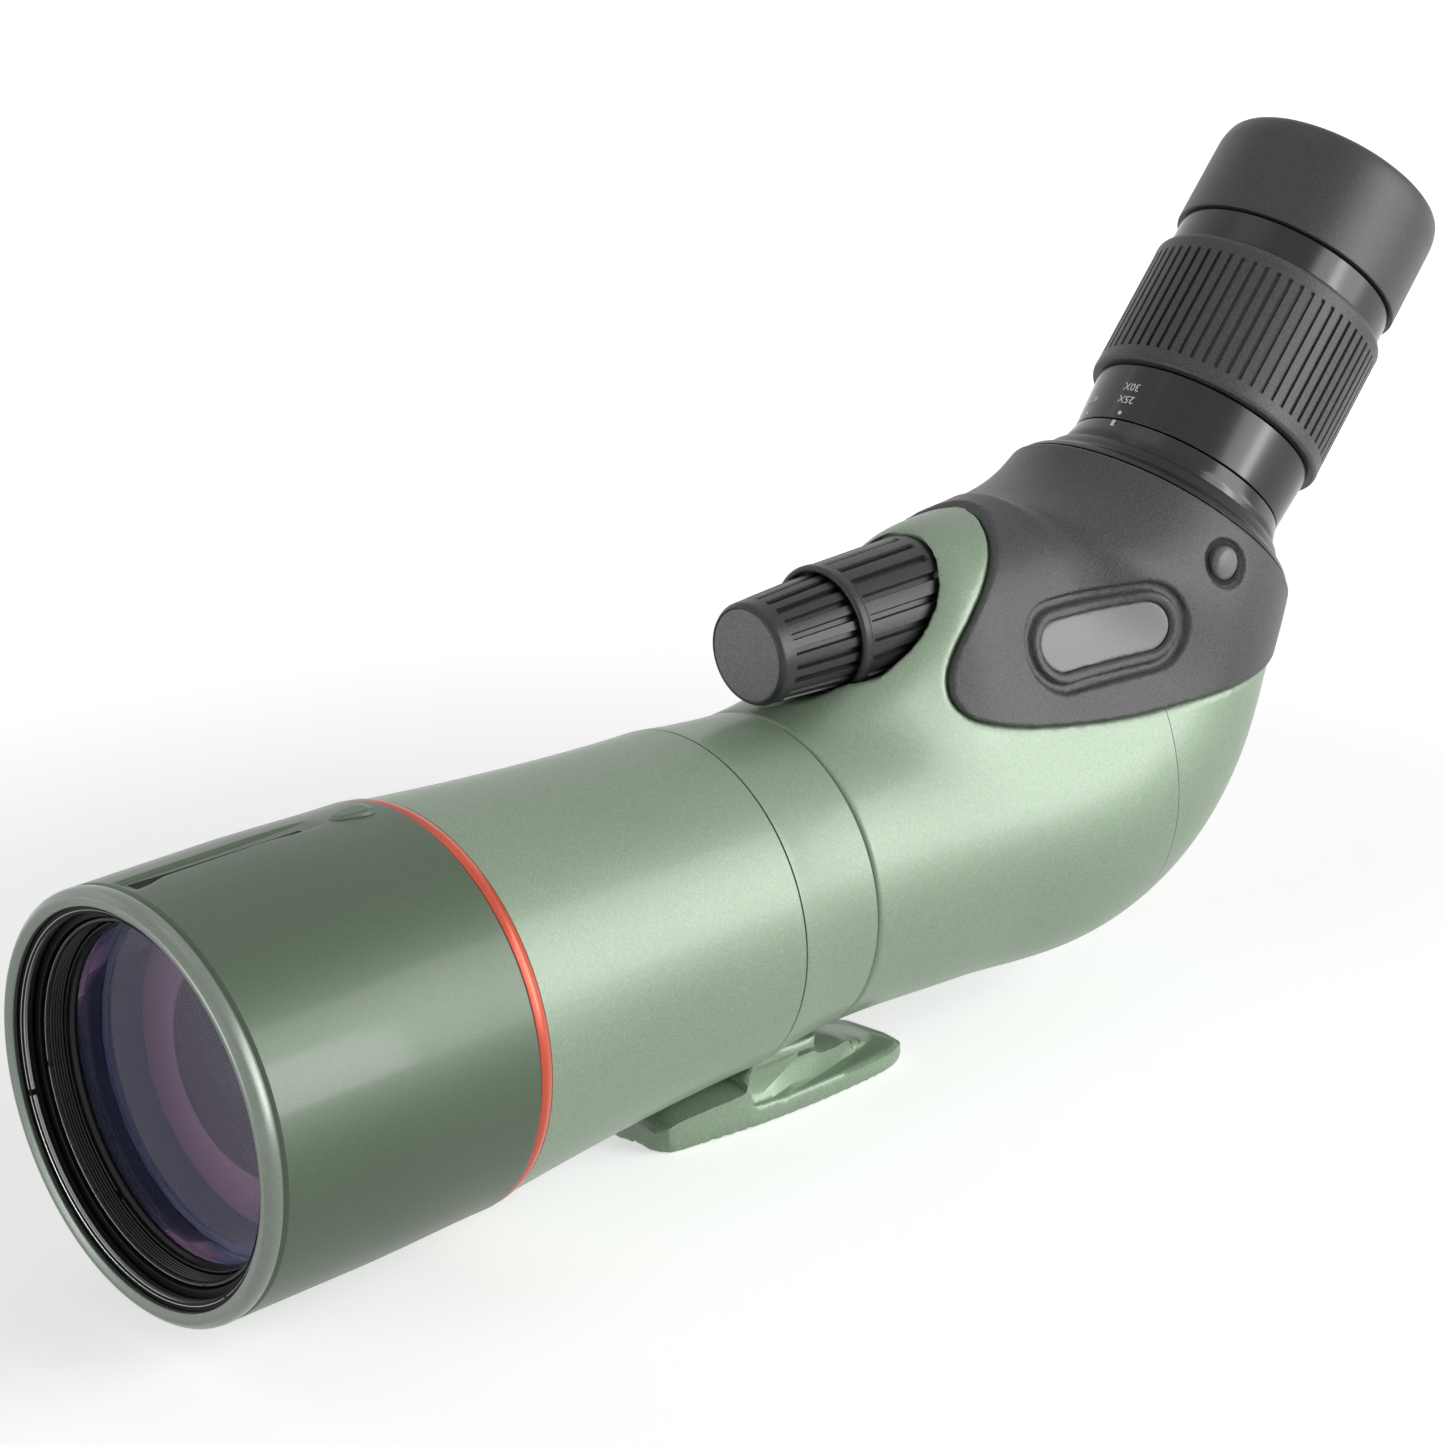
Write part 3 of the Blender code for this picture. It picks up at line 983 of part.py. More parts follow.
def make_prism():
    """The roof prism that folds and erects the image, in its bracket behind a spring bar."""
    eye = np.array([-math.cos(EYEPIECE_ANGLE), math.sin(EYEPIECE_ANGLE)])
    down = np.array([-math.sin(EYEPIECE_ANGLE), -math.cos(EYEPIECE_ANGLE)])
    apex = np.array([X_PRISM, AXIS_HEIGHT + PRISM_REACH])
    entry = apex + np.array([0.0, -PRISM_FACE])
    leaving = apex + PRISM_FACE * down
    bisector = down + np.array([0.0, -1.0])
    roof = PRISM_ROOF * bisector / np.linalg.norm(bisector)
    work = bmesh.new()
    for x, z in (apex, entry, leaving):
        for side in (-1, 1):
            work.verts.new((x, side * PRISM_HALF_WIDTH, z))
    for x, z in (entry + roof, leaving + roof):
        work.verts.new((x, 0.0, z))
    bmesh.ops.convex_hull(work, input=work.verts)
    mesh = bpy.data.meshes.new("roof_prism")
    work.to_mesh(mesh)
    work.free()
    place("roof_prism", mesh, material=GLASS)

    bracket = loft("prism_bracket", shell_rings(-WALL - 2 * SEAM, CAVITY_SIDES, 1),
                   material=MATT_BLACK, group=PARTS)
    front = X_PLATE + BRACKET_PLATE
    keep(bracket, block("bracket_slice", (X_PLATE, -0.05, -0.01), (front, 0.05, 0.16)))
    low = PRISM_HALF_WIDTH + SEAM
    inset = 0.0022
    outline = [tuple(apex + (0.001, -inset)), tuple(entry + (0.001, inset)),
               tuple(entry + (-0.001, inset)), tuple(leaving - 1.6 * inset * down),
               tuple(apex + (-0.001, -inset - 0.001))]
    for side, name in ((1, "left_cheek"), (-1, "right_cheek")):
        faces = sorted((side * low, side * (low + BRACKET_CHEEK)))
        join(bracket, slab(name, outline, faces[0], faces[1], "XZ"))
    window = peg("bracket_window", PRISM_HALF_WIDTH, (X_PLATE - 0.001, 0.0, AXIS_HEIGHT), (1, 0, 0),
                 BRACKET_PLATE + 0.002, 28)
    shaft = peg("bracket_shaft_hole", FINE_SHAFT_RADIUS + SEAM,
                (X_PLATE - 0.001, 0.0, AXIS_HEIGHT + KNOB_RISE), (1, 0, 0), 0.005, 16)
    guide = peg("bracket_rod_hole", ROD_RADIUS + SEAM, (X_PLATE - 0.001, 0.0, AXIS_HEIGHT - ROD_DROP),
                (1, 0, 0), 0.005, 12)
    cut(bracket, window, shaft, guide)
    bar = 0.0012
    x, z = apex + 0.0055 * down + (bar + SEAM) * eye
    peg("prism_clip", bar, (x, -low - BRACKET_CHEEK, z), (0, 1, 0), 2 * (low + BRACKET_CHEEK), 12,
        material=STEEL, group=PARTS)


# ----------------------------------------------------------------------------- eyepiece
def make_mount():
    """The ring on the housing's port, and the bayonet ring that turns inside it."""
    floor = S_MOUNT + 0.0026
    well = INDEX_RADIUS + SEAM
    turned("eyepiece_mount", [
        (CONE_TOP_RADIUS, S_INDEX), (CONE_TOP_RADIUS + 0.0016, S_INDEX - 0.0030),
        (PORT_RADIUS - 0.0014, S_MOUNT + 0.0016), (PORT_RADIUS - 0.0004, S_MOUNT), (SPIGOT_RADIUS, S_MOUNT),
        (SPIGOT_RADIUS, S_PORT - SPIGOT_DEPTH), (MOUNT_BORE, S_PORT - SPIGOT_DEPTH),
        (MOUNT_BORE, floor), (well, floor), (well, S_INDEX)], EYEPIECE, RUBBER, EYEPIECE_SIDES)
    top = floor + SEAM + 0.0012
    turned("bayonet_ring", [
        (well - SLIDE_GAP, top), (well - SLIDE_GAP, floor + SEAM), (RING_RADIUS, floor + SEAM),
        (RING_RADIUS, S_PORT - SPIGOT_DEPTH + 0.0008), (RING_BORE, S_PORT - SPIGOT_DEPTH + 0.0008),
        (RING_BORE, top)], EYEPIECE, STEEL, INNER_SIDES)
    return top


def make_eyepiece(seat):
    """The eyepiece: guide tube, index ring, zoom ring, optical groups and eyecup."""
    shoulder = seat + SEAM
    low = S_PORT - BAYONET_DEPTH
    lens_seat = low + 0.0020
    step = S_INDEX + 0.0012
    head_top = S_TOP - 0.0090
    eye_seat = head_top - 0.0058
    eye_radius = BAYONET_BORE
    body = turned("eyepiece_tube", [
        (GUIDE_RADIUS, head_top), (GUIDE_RADIUS, step), (GUIDE_RADIUS + 0.0024, step),
        (GUIDE_RADIUS + 0.0024, shoulder), (BAYONET_RADIUS, shoulder), (BAYONET_RADIUS, low),
        (BAYONET_BORE - 0.0015, low), (BAYONET_BORE - 0.0015, lens_seat),
        (BAYONET_BORE, lens_seat), (BAYONET_BORE, S_INDEX), (GUIDE_BORE, S_INDEX),
        (GUIDE_BORE, eye_seat - 0.0035), (eye_radius - 0.0012, eye_seat), (eye_radius + SEAM, eye_seat),
        (eye_radius + SEAM, head_top)], EYEPIECE, MATT_BLACK, INNER_SIDES)
    lens("field_lens", BAYONET_BORE - SEAM, lens_seat + 0.0050, lens_seat + SEAM, 0.0016, 0.0,
         EYEPIECE, INNER_SIDES)
    collar_bore = GUIDE_RADIUS + 0.0024 + SEAM
    turned("index_ring", [
        (SCALE_RADIUS_LOW, S_SCALE), (INDEX_RADIUS - SLIDE_GAP / 2, S_INDEX + 0.0008),
        (INDEX_RADIUS - SLIDE_GAP / 2, shoulder), (collar_bore, shoulder),
        (collar_bore, step + SEAM), (GUIDE_RADIUS + SEAM, step + SEAM),
        (GUIDE_RADIUS + SEAM, S_SCALE)], EYEPIECE, GLOSS_BLACK, EYEPIECE_SIDES)
    make_zoom(body)
    make_head(head_top, eye_radius, eye_seat)


def make_zoom(body):
    """The zoom ring with its rubber grip, and the two lens cells that it drives."""
    low = S_SCALE + SEAM
    under = GRIP_RADIUS - 0.0025
    top = S_NECK - SEAM
    turned("zoom_scale_sleeve", [
        (under - SEAM, top), (under - SEAM, S_GRIP), (SCALE_RADIUS_HIGH, S_GRIP - 0.0002),
        (SCALE_RADIUS_LOW, low), (ZOOM_BORE, low), (ZOOM_BORE, top)], EYEPIECE, GLOSS_BLACK,
        EYEPIECE_SIDES)
    grip_low = S_GRIP + SEAM
    grip = turned("zoom_grip", [
        (GRIP_RADIUS - 0.0006, top), (GRIP_RADIUS, top - 0.0009), (GRIP_RADIUS, grip_low),
        (under, grip_low), (under, top)], EYEPIECE, RUBBER, GRIP_SIDES)
    ribs(grip, EYEPIECE, GRIP_RIBS, GRIP_RADIUS, GRIP_RADIUS, grip_low + GRIP_BORDER,
         top - GRIP_BORDER, GRIP_GROOVE, 0.0007)

    cell = GUIDE_BORE - SEAM
    bore = cell - 0.0026
    for name, start, length, side, travel in (("front", S_INDEX + 0.0080, 0.0120, 1, 0.0090),
                                              ("rear", S_GRIP + 0.0225, 0.0110, -1, -0.0070)):
        holder = turned("zoom_%s_cell" % name, [
            (cell, start + length), (cell, start), (bore - 0.0012, start),
            (bore - 0.0012, start + 0.0020), (bore, start + 0.0020), (bore, start + length)],
            EYEPIECE, MATT_BLACK, CELL_SIDES)
        middle = start + length / 2
        pin = peg("zoom_pin_" + name, ZOOM_PIN_RADIUS, (0.0, side * (cell - 0.0008), middle),
                  (0, side, 0), GUIDE_WALL + 0.0008, 8, EYEPIECE)
        join(holder, pin)
        ends = sorted((middle, middle + travel))
        room = ZOOM_PIN_RADIUS + SEAM
        walls = sorted((side * (GUIDE_BORE - 0.003), side * (GUIDE_RADIUS + 0.001)))
        cut(body, block("zoom_slot_" + name, (-room, walls[0], ends[0] - room),
                        (room, walls[1], ends[1] + room), EYEPIECE))
        lens("zoom_%s_lens" % name, bore - SEAM, start + 0.0080, start + 0.0020 + SEAM, 0.0012,
             0.0010, EYEPIECE, CELL_SIDES)


def make_head(head_top, eye_radius, eye_seat):
    """The fixed neck, the eye lens and its ring, and the twist-up eyecup."""
    sleeve_bore = CUP_BORE - SEAM - 0.0015
    guide = sleeve_bore - SLIDE_GAP
    turned("eyepiece_head", [
        (guide, head_top), (guide, S_CUP - SEAM), (NECK_RADIUS, S_CUP - SEAM),
        (NECK_RADIUS, S_NECK + 0.0003), (NECK_RADIUS - 0.0003, S_NECK), (ZOOM_BORE, S_NECK),
        (ZOOM_BORE, head_top)], EYEPIECE, GLOSS_BLACK, EYEPIECE_SIDES)
    ring_top = head_top + 0.0024
    turned("eye_lens_ring", [
        (guide - 0.0006, ring_top), (guide, ring_top - 0.0006), (guide, head_top + SEAM),
        (eye_radius - 0.0010, head_top + SEAM), (eye_radius - 0.0004, ring_top)],
        EYEPIECE, MATT_BLACK, INNER_SIDES)
    lens("eye_lens", eye_radius, head_top, eye_seat + SEAM, 0.0016, 0.0008, EYEPIECE,
         INNER_SIDES)
    shelf = S_TOP - CUP_LIP
    tube("eyecup_sleeve", sleeve_bore, CUP_BORE - SEAM, S_CUP + SEAM, shelf - SEAM, EYEPIECE,
         MATT_BLACK, INNER_SIDES)
    turned("eyecup", [
        (CUP_RADIUS - 0.0042, S_TOP), (CUP_RADIUS - 0.0016, S_TOP - 0.0008),
        (CUP_RADIUS - 0.0004, S_TOP - 0.0028), (CUP_RADIUS, S_CUP), (CUP_BORE, S_CUP),
        (CUP_BORE, shelf), (CUP_MOUTH, shelf), (CUP_MOUTH + 0.0012, S_TOP - 0.0008)],
        EYEPIECE, RUBBER, EYEPIECE_SIDES)


make_collar()
make_clamp()
make_barrel()
make_hood()
make_objective()
make_housing()
make_armour()
make_release()
make_knobs()
make_carriage()
make_prism()
make_eyepiece(make_mount())
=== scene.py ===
"""Angled spotting scope with a 66 mm objective: the finished look of every piece.

Units are metres, +Z is up, +X points at the view and +Y is the observer's left. Each
piece is made where its solid in the frame lies. Three axes carry the turned pieces: the
optical axis, the focus knobs' axis and the eyepiece axis. A station is a distance along
an axis, and a profile point is (radius, station) or (radius, station, fillet).
"""
import json
import math

import bmesh
import bpy
import numpy as np
from mathutils import Matrix, Vector
from mathutils.kdtree import KDTree


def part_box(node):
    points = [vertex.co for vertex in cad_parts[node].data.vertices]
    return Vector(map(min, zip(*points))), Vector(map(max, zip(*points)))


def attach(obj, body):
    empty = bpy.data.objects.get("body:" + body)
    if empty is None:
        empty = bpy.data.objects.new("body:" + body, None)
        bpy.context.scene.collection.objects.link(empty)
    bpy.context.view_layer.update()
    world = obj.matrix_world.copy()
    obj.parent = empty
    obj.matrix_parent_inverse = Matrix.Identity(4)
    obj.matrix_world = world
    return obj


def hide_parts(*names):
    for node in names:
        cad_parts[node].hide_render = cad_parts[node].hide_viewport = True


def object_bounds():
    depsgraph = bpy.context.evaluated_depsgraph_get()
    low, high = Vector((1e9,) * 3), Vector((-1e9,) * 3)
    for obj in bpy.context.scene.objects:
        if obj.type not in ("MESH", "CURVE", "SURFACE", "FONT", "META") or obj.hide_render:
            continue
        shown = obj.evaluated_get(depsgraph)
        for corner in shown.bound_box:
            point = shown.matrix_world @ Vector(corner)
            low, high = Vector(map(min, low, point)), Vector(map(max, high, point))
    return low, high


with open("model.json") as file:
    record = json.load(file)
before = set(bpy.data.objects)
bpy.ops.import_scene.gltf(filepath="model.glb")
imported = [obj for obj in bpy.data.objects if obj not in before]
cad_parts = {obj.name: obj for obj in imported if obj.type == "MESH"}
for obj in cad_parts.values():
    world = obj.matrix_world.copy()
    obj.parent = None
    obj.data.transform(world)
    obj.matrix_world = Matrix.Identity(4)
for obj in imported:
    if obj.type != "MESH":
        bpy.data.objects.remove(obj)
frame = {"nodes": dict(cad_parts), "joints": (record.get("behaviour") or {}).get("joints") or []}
cad_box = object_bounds()

SEAM = 0.0003                  # gap between two pieces that meet
WELD = 0.000002                # points nearer to each other than this become one


# ------------------------------------------------------------------ axes and measures
def joint_axis(name):
    """A matrix at a hinge: Z along the hinge and X as near to straight up as it can be."""
    joint = next(j for j in frame["joints"] if j["name"] == name)
    along = Vector(joint["axis"]).normalized()
    up = (Vector((0, 0, 1)) - along * along.z).normalized()
    turn = Matrix((up, along.cross(up), along)).transposed().to_4x4()
    return Matrix.Translation(joint["pos_m"]) @ turn


OPTICAL = joint_axis("collar_rotation")
KNOBS = joint_axis("coarse_focus_turn")
EYEPIECE = joint_axis("bayonet_turn")


class Band:
    """Where a turned node lies on its axis: lowest and highest station, radius and bore."""

    def __init__(self, node, axis):
        local = axis.inverted()
        corners = np.array([local @ v.co for v in frame["nodes"][node].data.vertices])
        self.stations = corners[:, 2]
        self.radii = np.hypot(corners[:, 0], corners[:, 1])
        self.low, self.high = self.stations.min(), self.stations.max()
        self.radius, self.bore = self.radii.max(), self.radii.min()

    def at(self, station, reach=0.0002):
        """The radii of the points at a station."""
        return self.radii[abs(self.stations - station) < reach]

    def rim(self, station, reach=0.0002):
        return self.at(station, reach).max()

    def bore_at(self, station):
        return self.at(station).min()


def side_middle(name):
    """The middle of a node in side view, as (x, z)."""
    low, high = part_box(name)
    return (low.x + high.x) / 2, (low.z + high.z) / 2


HOUSING = Band("prism_housing", OPTICAL)
PORT = Band("prism_housing", EYEPIECE)
HOOD = Band("sunshade", OPTICAL)
BARREL = Band("barrel", OPTICAL)
FINE = Band("fine_focus_knob", KNOBS)
COARSE = Band("coarse_focus_knob", KNOBS)

AXIS_HEIGHT = OPTICAL.translation.z
FOLD = EYEPIECE.translation
X_COLLAR = HOUSING.high + SEAM
HOUSING_RADIUS = HOUSING.rim(HOUSING.high)
S_PORT = PORT.high
PORT_RADIUS = PORT.rim(S_PORT)
PORT_BORE = 0.0207             # the hole behind the eyepiece's port
KNOB_RISE = KNOBS.translation.z - AXIS_HEIGHT
COLLAR_RADIUS = HOUSING_RADIUS + 0.0021
COLLAR_EDGE = BARREL.low + 0.0335 - 2 * SEAM    # where the collar meets the green waist


# ------------------------------------------------------------------------ mesh helpers
def new_object(name, data):
    made = bpy.data.objects.new(name, data)
    bpy.context.scene.collection.objects.link(made)
    return made


def to_object(name, work):
    """Closes a bmesh into a named object."""
    bmesh.ops.recalc_face_normals(work, faces=work.faces)
    mesh = bpy.data.meshes.new(name)
    work.to_mesh(mesh)
    work.free()
    return new_object(name, mesh)


def skin(name, rows, tube=True, caps=False):
    """A mesh over closed rings of points. The last ring meets the first one if tube."""
    rows = np.asarray(rows, float)
    count, width = rows.shape[:2]
    work = bmesh.new()
    verts = [[work.verts.new(p) for p in row] for row in rows]
    for i in range(count if tube else count - 1):
        for j in range(width):
            a, b = (i + 1) % count, (j + 1) % width
            work.faces.new((verts[i][j], verts[i][b], verts[a][b], verts[a][j]))
    if caps:
        work.faces.new(verts[0])
        work.faces.new(verts[-1])
    bmesh.ops.remove_doubles(work, verts=work.verts, dist=WELD)
    return to_object(name, work)


def rounded(profile, steps):
    """A profile's points with its fillets drawn as arcs of a few steps."""
    points = []
    count = len(profile)
    for i, corner in enumerate(profile):
        here = np.array(corner[:2], float)
        if len(corner) < 3:
            points.append(here)
            continue
        before = np.array(profile[i - 1][:2]) - here
        after = np.array(profile[(i + 1) % count][:2]) - here
        far = min(np.linalg.norm(before), np.linalg.norm(after))
        reach = min(corner[2], 0.48 * far)
        start = here + before / np.linalg.norm(before) * reach
        end = here + after / np.linalg.norm(after) * reach
        for t in np.linspace(0.0, 1.0, steps + 1):
            points.append((1 - t) ** 2 * start + 2 * t * (1 - t) * here + t * t * end)
    return points


def even(sides):
    """Angles round a full turn, all the same distance apart."""
    return np.linspace(0.0, 2 * math.pi, sides, endpoint=False)


def turned(name, profile, axis, sides=144, closed=True, angles=None, relief=None, steps=4):
    """A turned piece. Relief gives each point's radius from its angle, station and radius."""
    angles = even(sides) if angles is None else np.asarray(angles)
    rows = []
    for radius, station in rounded(profile, steps):
        reach = np.full(len(angles), radius)
        if relief:
            reach = relief(angles, station, reach)
        rows.append([axis @ Vector((r * math.cos(a), r * math.sin(a), station))
                     for r, a in zip(reach, angles)])
    return skin(name, rows, tube=closed)


def bar(name, outline, low, high, plane, matrix=Matrix.Identity(4)):
    """A flat outline given thickness: plane "XZ" runs across in Y, and "XY" runs up in Z."""
    rows = []
    for level in (low, high):
        corners = [(a, level, b) if plane == "XZ" else (a, b, level) for a, b in outline]
        rows.append([matrix @ Vector(p) for p in corners])
    return skin(name, rows, tube=False, caps=True)


def rectangle(low, high, half):
    """Corners from low to high along the first direction and half to each side of it."""
    return [(low, -half), (high, -half), (high, half), (low, half)]


def peg(name, radius, centre, direction, length, sides=48):
    """A round bar from its centre point along a direction."""
    direction = Vector(direction).normalized()
    axis = Matrix.Translation(centre) @ direction.to_track_quat("Z", "Y").to_matrix().to_4x4()
    return turned(name, [(0, length), (radius, length), (radius, 0), (0, 0)], axis, sides, False)


def discard(piece):
    bpy.data.objects.remove(piece, do_unlink=True)


def combine(target, operation, tools):
    """Cuts, joins or keeps the target with the tools, which it uses up."""
    for tool in tools:
        boolean = target.modifiers.new("boolean", "BOOLEAN")
        boolean.operation = operation
        boolean.solver = "MANIFOLD"
        boolean.object = tool
    bpy.context.view_layer.update()
    graph = bpy.context.evaluated_depsgraph_get()
    mesh = bpy.data.meshes.new_from_object(target.evaluated_get(graph))
    target.modifiers.clear()
    old = target.data
    target.data = mesh
    bpy.data.meshes.remove(old)
    for tool in tools:
        discard(tool)
    return target


def cut(target, *tools):
    return combine(target, "DIFFERENCE", tools)


def join(target, *tools):
    return combine(target, "UNION", tools)


def keep(target, *tools):
    return combine(target, "INTERSECT", tools)


def copy(source, name):
    made = source.copy()
    made.data = source.data.copy()
    made.name = name
    bpy.context.scene.collection.objects.link(made)
    return made


def soften(target, reach, rounds=6):
    """Rounds every edge sharper than the limit, over about the reach on each side."""
    limit = math.radians(32.0)
    longest = 0.0008
    splits = 2
    work = bmesh.new()
    work.from_mesh(target.data)
    bmesh.ops.remove_doubles(work, verts=work.verts, dist=10 * WELD)
    bmesh.ops.triangulate(work, faces=work.faces)
    for level in range(splits + 1):
        sharp = [e for e in work.edges if len(e.link_faces) == 2 and e.calc_face_angle(0) > limit]
        tree = KDTree(3 * len(sharp))
        for i, edge in enumerate(sharp):
            a, b = edge.verts[0].co, edge.verts[1].co
            for k, t in enumerate((0.17, 0.5, 0.83)):
                tree.insert(a.lerp(b, t), 3 * i + k)
        tree.balance()
        near = [v for v in work.verts if sharp and tree.find(v.co)[2] < 1.3 * reach]
        if level == splits:
            break
        inside = set(near)
        long = [e for e in work.edges if e.calc_length() > longest
                and (e.verts[0] in inside or e.verts[1] in inside)]
        bmesh.ops.subdivide_edges(work, edges=long, cuts=1)
        bmesh.ops.triangulate(work, faces=work.faces)
    close = [v for v in near if tree.find(v.co)[2] < reach]
    for _ in range(rounds):
        bmesh.ops.smooth_vert(work, verts=close, factor=0.5, use_axis_x=True,
                              use_axis_y=True, use_axis_z=True)
    work.to_mesh(target.data)
    work.free()
    return target


def smooth_line(points, steps):
    """Catmull-Rom points through the given rows, which may have any number of columns."""
    rows = np.array(points, float)
    last = len(rows) - 1
    line = []
    for i in range(last):
        a, b, c, d = (rows[min(max(i + k, 0), last)] for k in (-1, 0, 1, 2))
        for t in np.linspace(0.0, 1.0, steps, endpoint=False):
            line.append(0.5 * (2 * b + (c - a) * t + (2 * a - 5 * b + 4 * c - d) * t * t
                               + (3 * b - a - 3 * c + d) * t ** 3))
    line.append(rows[last])
    return np.array(line)


def stadium(centre, length, height):
    """A level slot shape: two half circles joined by straight runs."""
    radius = height / 2
    reach = length / 2 - radius
    return [(centre[0] + way * (reach + radius * math.cos(a)),
             centre[1] + way * radius * math.sin(a))
            for way in (1, -1) for a in np.radians(np.linspace(-90, 90, 17))]


def shade(mesh, sharp):
    """Smooth shading, with a crease at every edge sharper than the angle in degrees."""
    mesh.shade_smooth()
    mesh.set_sharp_from_angle(angle=math.radians(sharp))


def dress(piece, finish, body, slot, *nodes, sharp=30.0):
    """Gives a piece its finish, smooth shading and body, and hides the solids that it stands for.
    The slot is not used.
    """
    piece.data.materials.clear()
    piece.data.materials.append(FINISHES[finish])
    shade(piece.data, sharp)
    normals = piece.modifiers.new("normals", "WEIGHTED_NORMAL")
    normals.keep_sharp = True
    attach(piece, body)
    if nodes:
        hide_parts(*nodes)


# --------------------------------------------------------------------- shared effects
def node(tree, kind, links=(), **settings):
    """A node with its settings, its plain input values and its links."""
    made = tree.nodes.new("ShaderNode" + kind)
    for label, value in settings.items():
        setattr(made, label, value)
    for socket, source in dict(links).items():
        if isinstance(source, bpy.types.NodeSocket):
            tree.links.new(source, made.inputs[socket])
        else:
            made.inputs[socket].default_value = source
    return made


def scaled(tree, value, low, high, start=0.0, end=1.0):
    """Maps start to end onto low to high, which may be numbers or sockets."""
    made = node(tree, "MapRange", {"Value": value, "From Min": start, "From Max": end,
                                   "To Min": low, "To Max": high})
    return made.outputs["Result"]


def product(tree, a, b):
    return node(tree, "Math", {0: a, 1: b}, operation="MULTIPLY").outputs[0]


def mixed(tree, share, a, b):
    return node(tree, "Mix", {0: share, 6: a, 7: b}, data_type="RGBA").outputs[2]


def noise(tree, where, scale, detail):
    made = node(tree, "TexNoise", {"Vector": where, "Scale": scale, "Detail": detail})
    return made.outputs[0]


def places(tree):
    """Each point's place in metres."""
    return node(tree, "TexCoord").outputs["Object"]


def fineness(tree, size):
    """The texture scale whose marks have the given size in metres."""
    return node(tree, "Math", {0: 1.0, 1: size}, operation="DIVIDE").outputs[0]


def effect(name, inputs):
    """An empty group for a finish, with its inputs by name, and the sockets that they give."""
    group = bpy.data.node_groups.new(name, "ShaderNodeTree")
    for label, value in inputs.items():
        kind = "NodeSocketColor" if isinstance(value, tuple) else "NodeSocketFloat"
        socket = group.interface.new_socket(label, in_out="INPUT", socket_type=kind)
        socket.default_value = value
    for label, kind in (("Color", "Color"), ("Roughness", "Float"), ("Height", "Float")):
        group.interface.new_socket(label, in_out="OUTPUT", socket_type="NodeSocket" + kind)
    return group, group.nodes.new("NodeGroupInput").outputs


def give(group, *results):
    """Links a group's colour, roughness and height to its outputs."""
    out = group.nodes.new("NodeGroupOutput")
    for socket, result in zip(out.inputs, results):
        group.links.new(result, socket)
    return group


def flake_effect():
    """Metallic paint: fine flakes of a brighter colour, slow cloudiness and a light peel."""
    group, given = effect("paint_flake", {
        "Paint": (0.3, 0.4, 0.3, 1), "Flake": (0.6, 0.7, 0.6, 1), "Flake Size": 0.0005,
        "Flake Amount": 0.4, "Smooth": 0.3, "Rough": 0.4})
    where = places(group)
    scale = fineness(group, given["Flake Size"])
    cells = node(group, "TexVoronoi", {"Vector": where, "Scale": scale})
    peel = noise(group, where, scale, 3.0)
    cloud = noise(group, where, 38.0, 2.0)
    cell_tone = node(group, "SeparateColor", {0: cells.outputs["Color"]}).outputs[0]
    speck = product(group, scaled(group, cell_tone, 0.0, 1.0, 0.45, 1.0), given["Flake Amount"])
    base = mixed(group, speck, given["Paint"], given["Flake"])
    tone = scaled(group, peel, 0.86, 1.1, 0.3, 0.7)
    value = product(group, tone, scaled(group, cloud, 0.95, 1.05))
    colour = node(group, "HueSaturation", {"Color": base, "Value": value}).outputs[0]
    return give(group, colour, scaled(group, cloud, given["Smooth"], given["Rough"]), peel)


def grain_effect():
    """Moulded grain: small pebbles in a tone that varies, with dry and greasy places."""
    group, given = effect("moulded_grain", {
        "Dark": (0.02, 0.02, 0.02, 1), "Light": (0.06, 0.06, 0.06, 1), "Grain Size": 0.0004,
        "Smooth": 0.5, "Rough": 0.7})
    where = places(group)
    scale = fineness(group, given["Grain Size"])
    pebbles = node(group, "TexVoronoi", {"Vector": where, "Scale": scale}, feature="SMOOTH_F1")
    fuzz = noise(group, where, scale, 4.0)
    wear = noise(group, where, 55.0, 3.0)
    height = node(group, "Math", {0: fuzz, 1: pebbles.outputs["Distance"]}, operation="SUBTRACT")
    tone = scaled(group, fuzz, 0.0, 1.0, 0.3, 0.7)
    return give(group, mixed(group, tone, given["Dark"], given["Light"]),
                scaled(group, wear, given["Smooth"], given["Rough"]), height.outputs[0])


def lathe_effect():
    """Turned metal: fine rings along a direction, broken up by noise."""
    group, given = effect("lathe_marks", {
        "Dark": (0.3, 0.3, 0.3, 1), "Light": (0.5, 0.5, 0.5, 1), "Pitch": 0.0003,
        "Smooth": 0.2, "Rough": 0.4})
    where = places(group)
    stretch = node(group, "Mapping", {"Vector": where, "Scale": (1.0, 0.06, 0.06)})
    lines = noise(group, stretch.outputs[0], fineness(group, given["Pitch"]), 3.0)
    smudge = noise(group, where, 90.0, 2.0)
    return give(group, mixed(group, lines, given["Dark"], given["Light"]),
                scaled(group, smudge, given["Smooth"], given["Rough"]), lines)


# --------------------------------------------------------------------------- finishes
EFFECTS = {"flake": flake_effect(), "grain": grain_effect(), "lathe": lathe_effect()}
FINISHES = {}


def material(name):
    """A new material, its node tree and its shader."""
    made = bpy.data.materials.new(name)
    made.use_nodes = True
    return made, made.node_tree, made.node_tree.nodes["Principled BSDF"]


def preset(shader, values):
    for label, value in values.items():
        shader.inputs[label].default_value = value


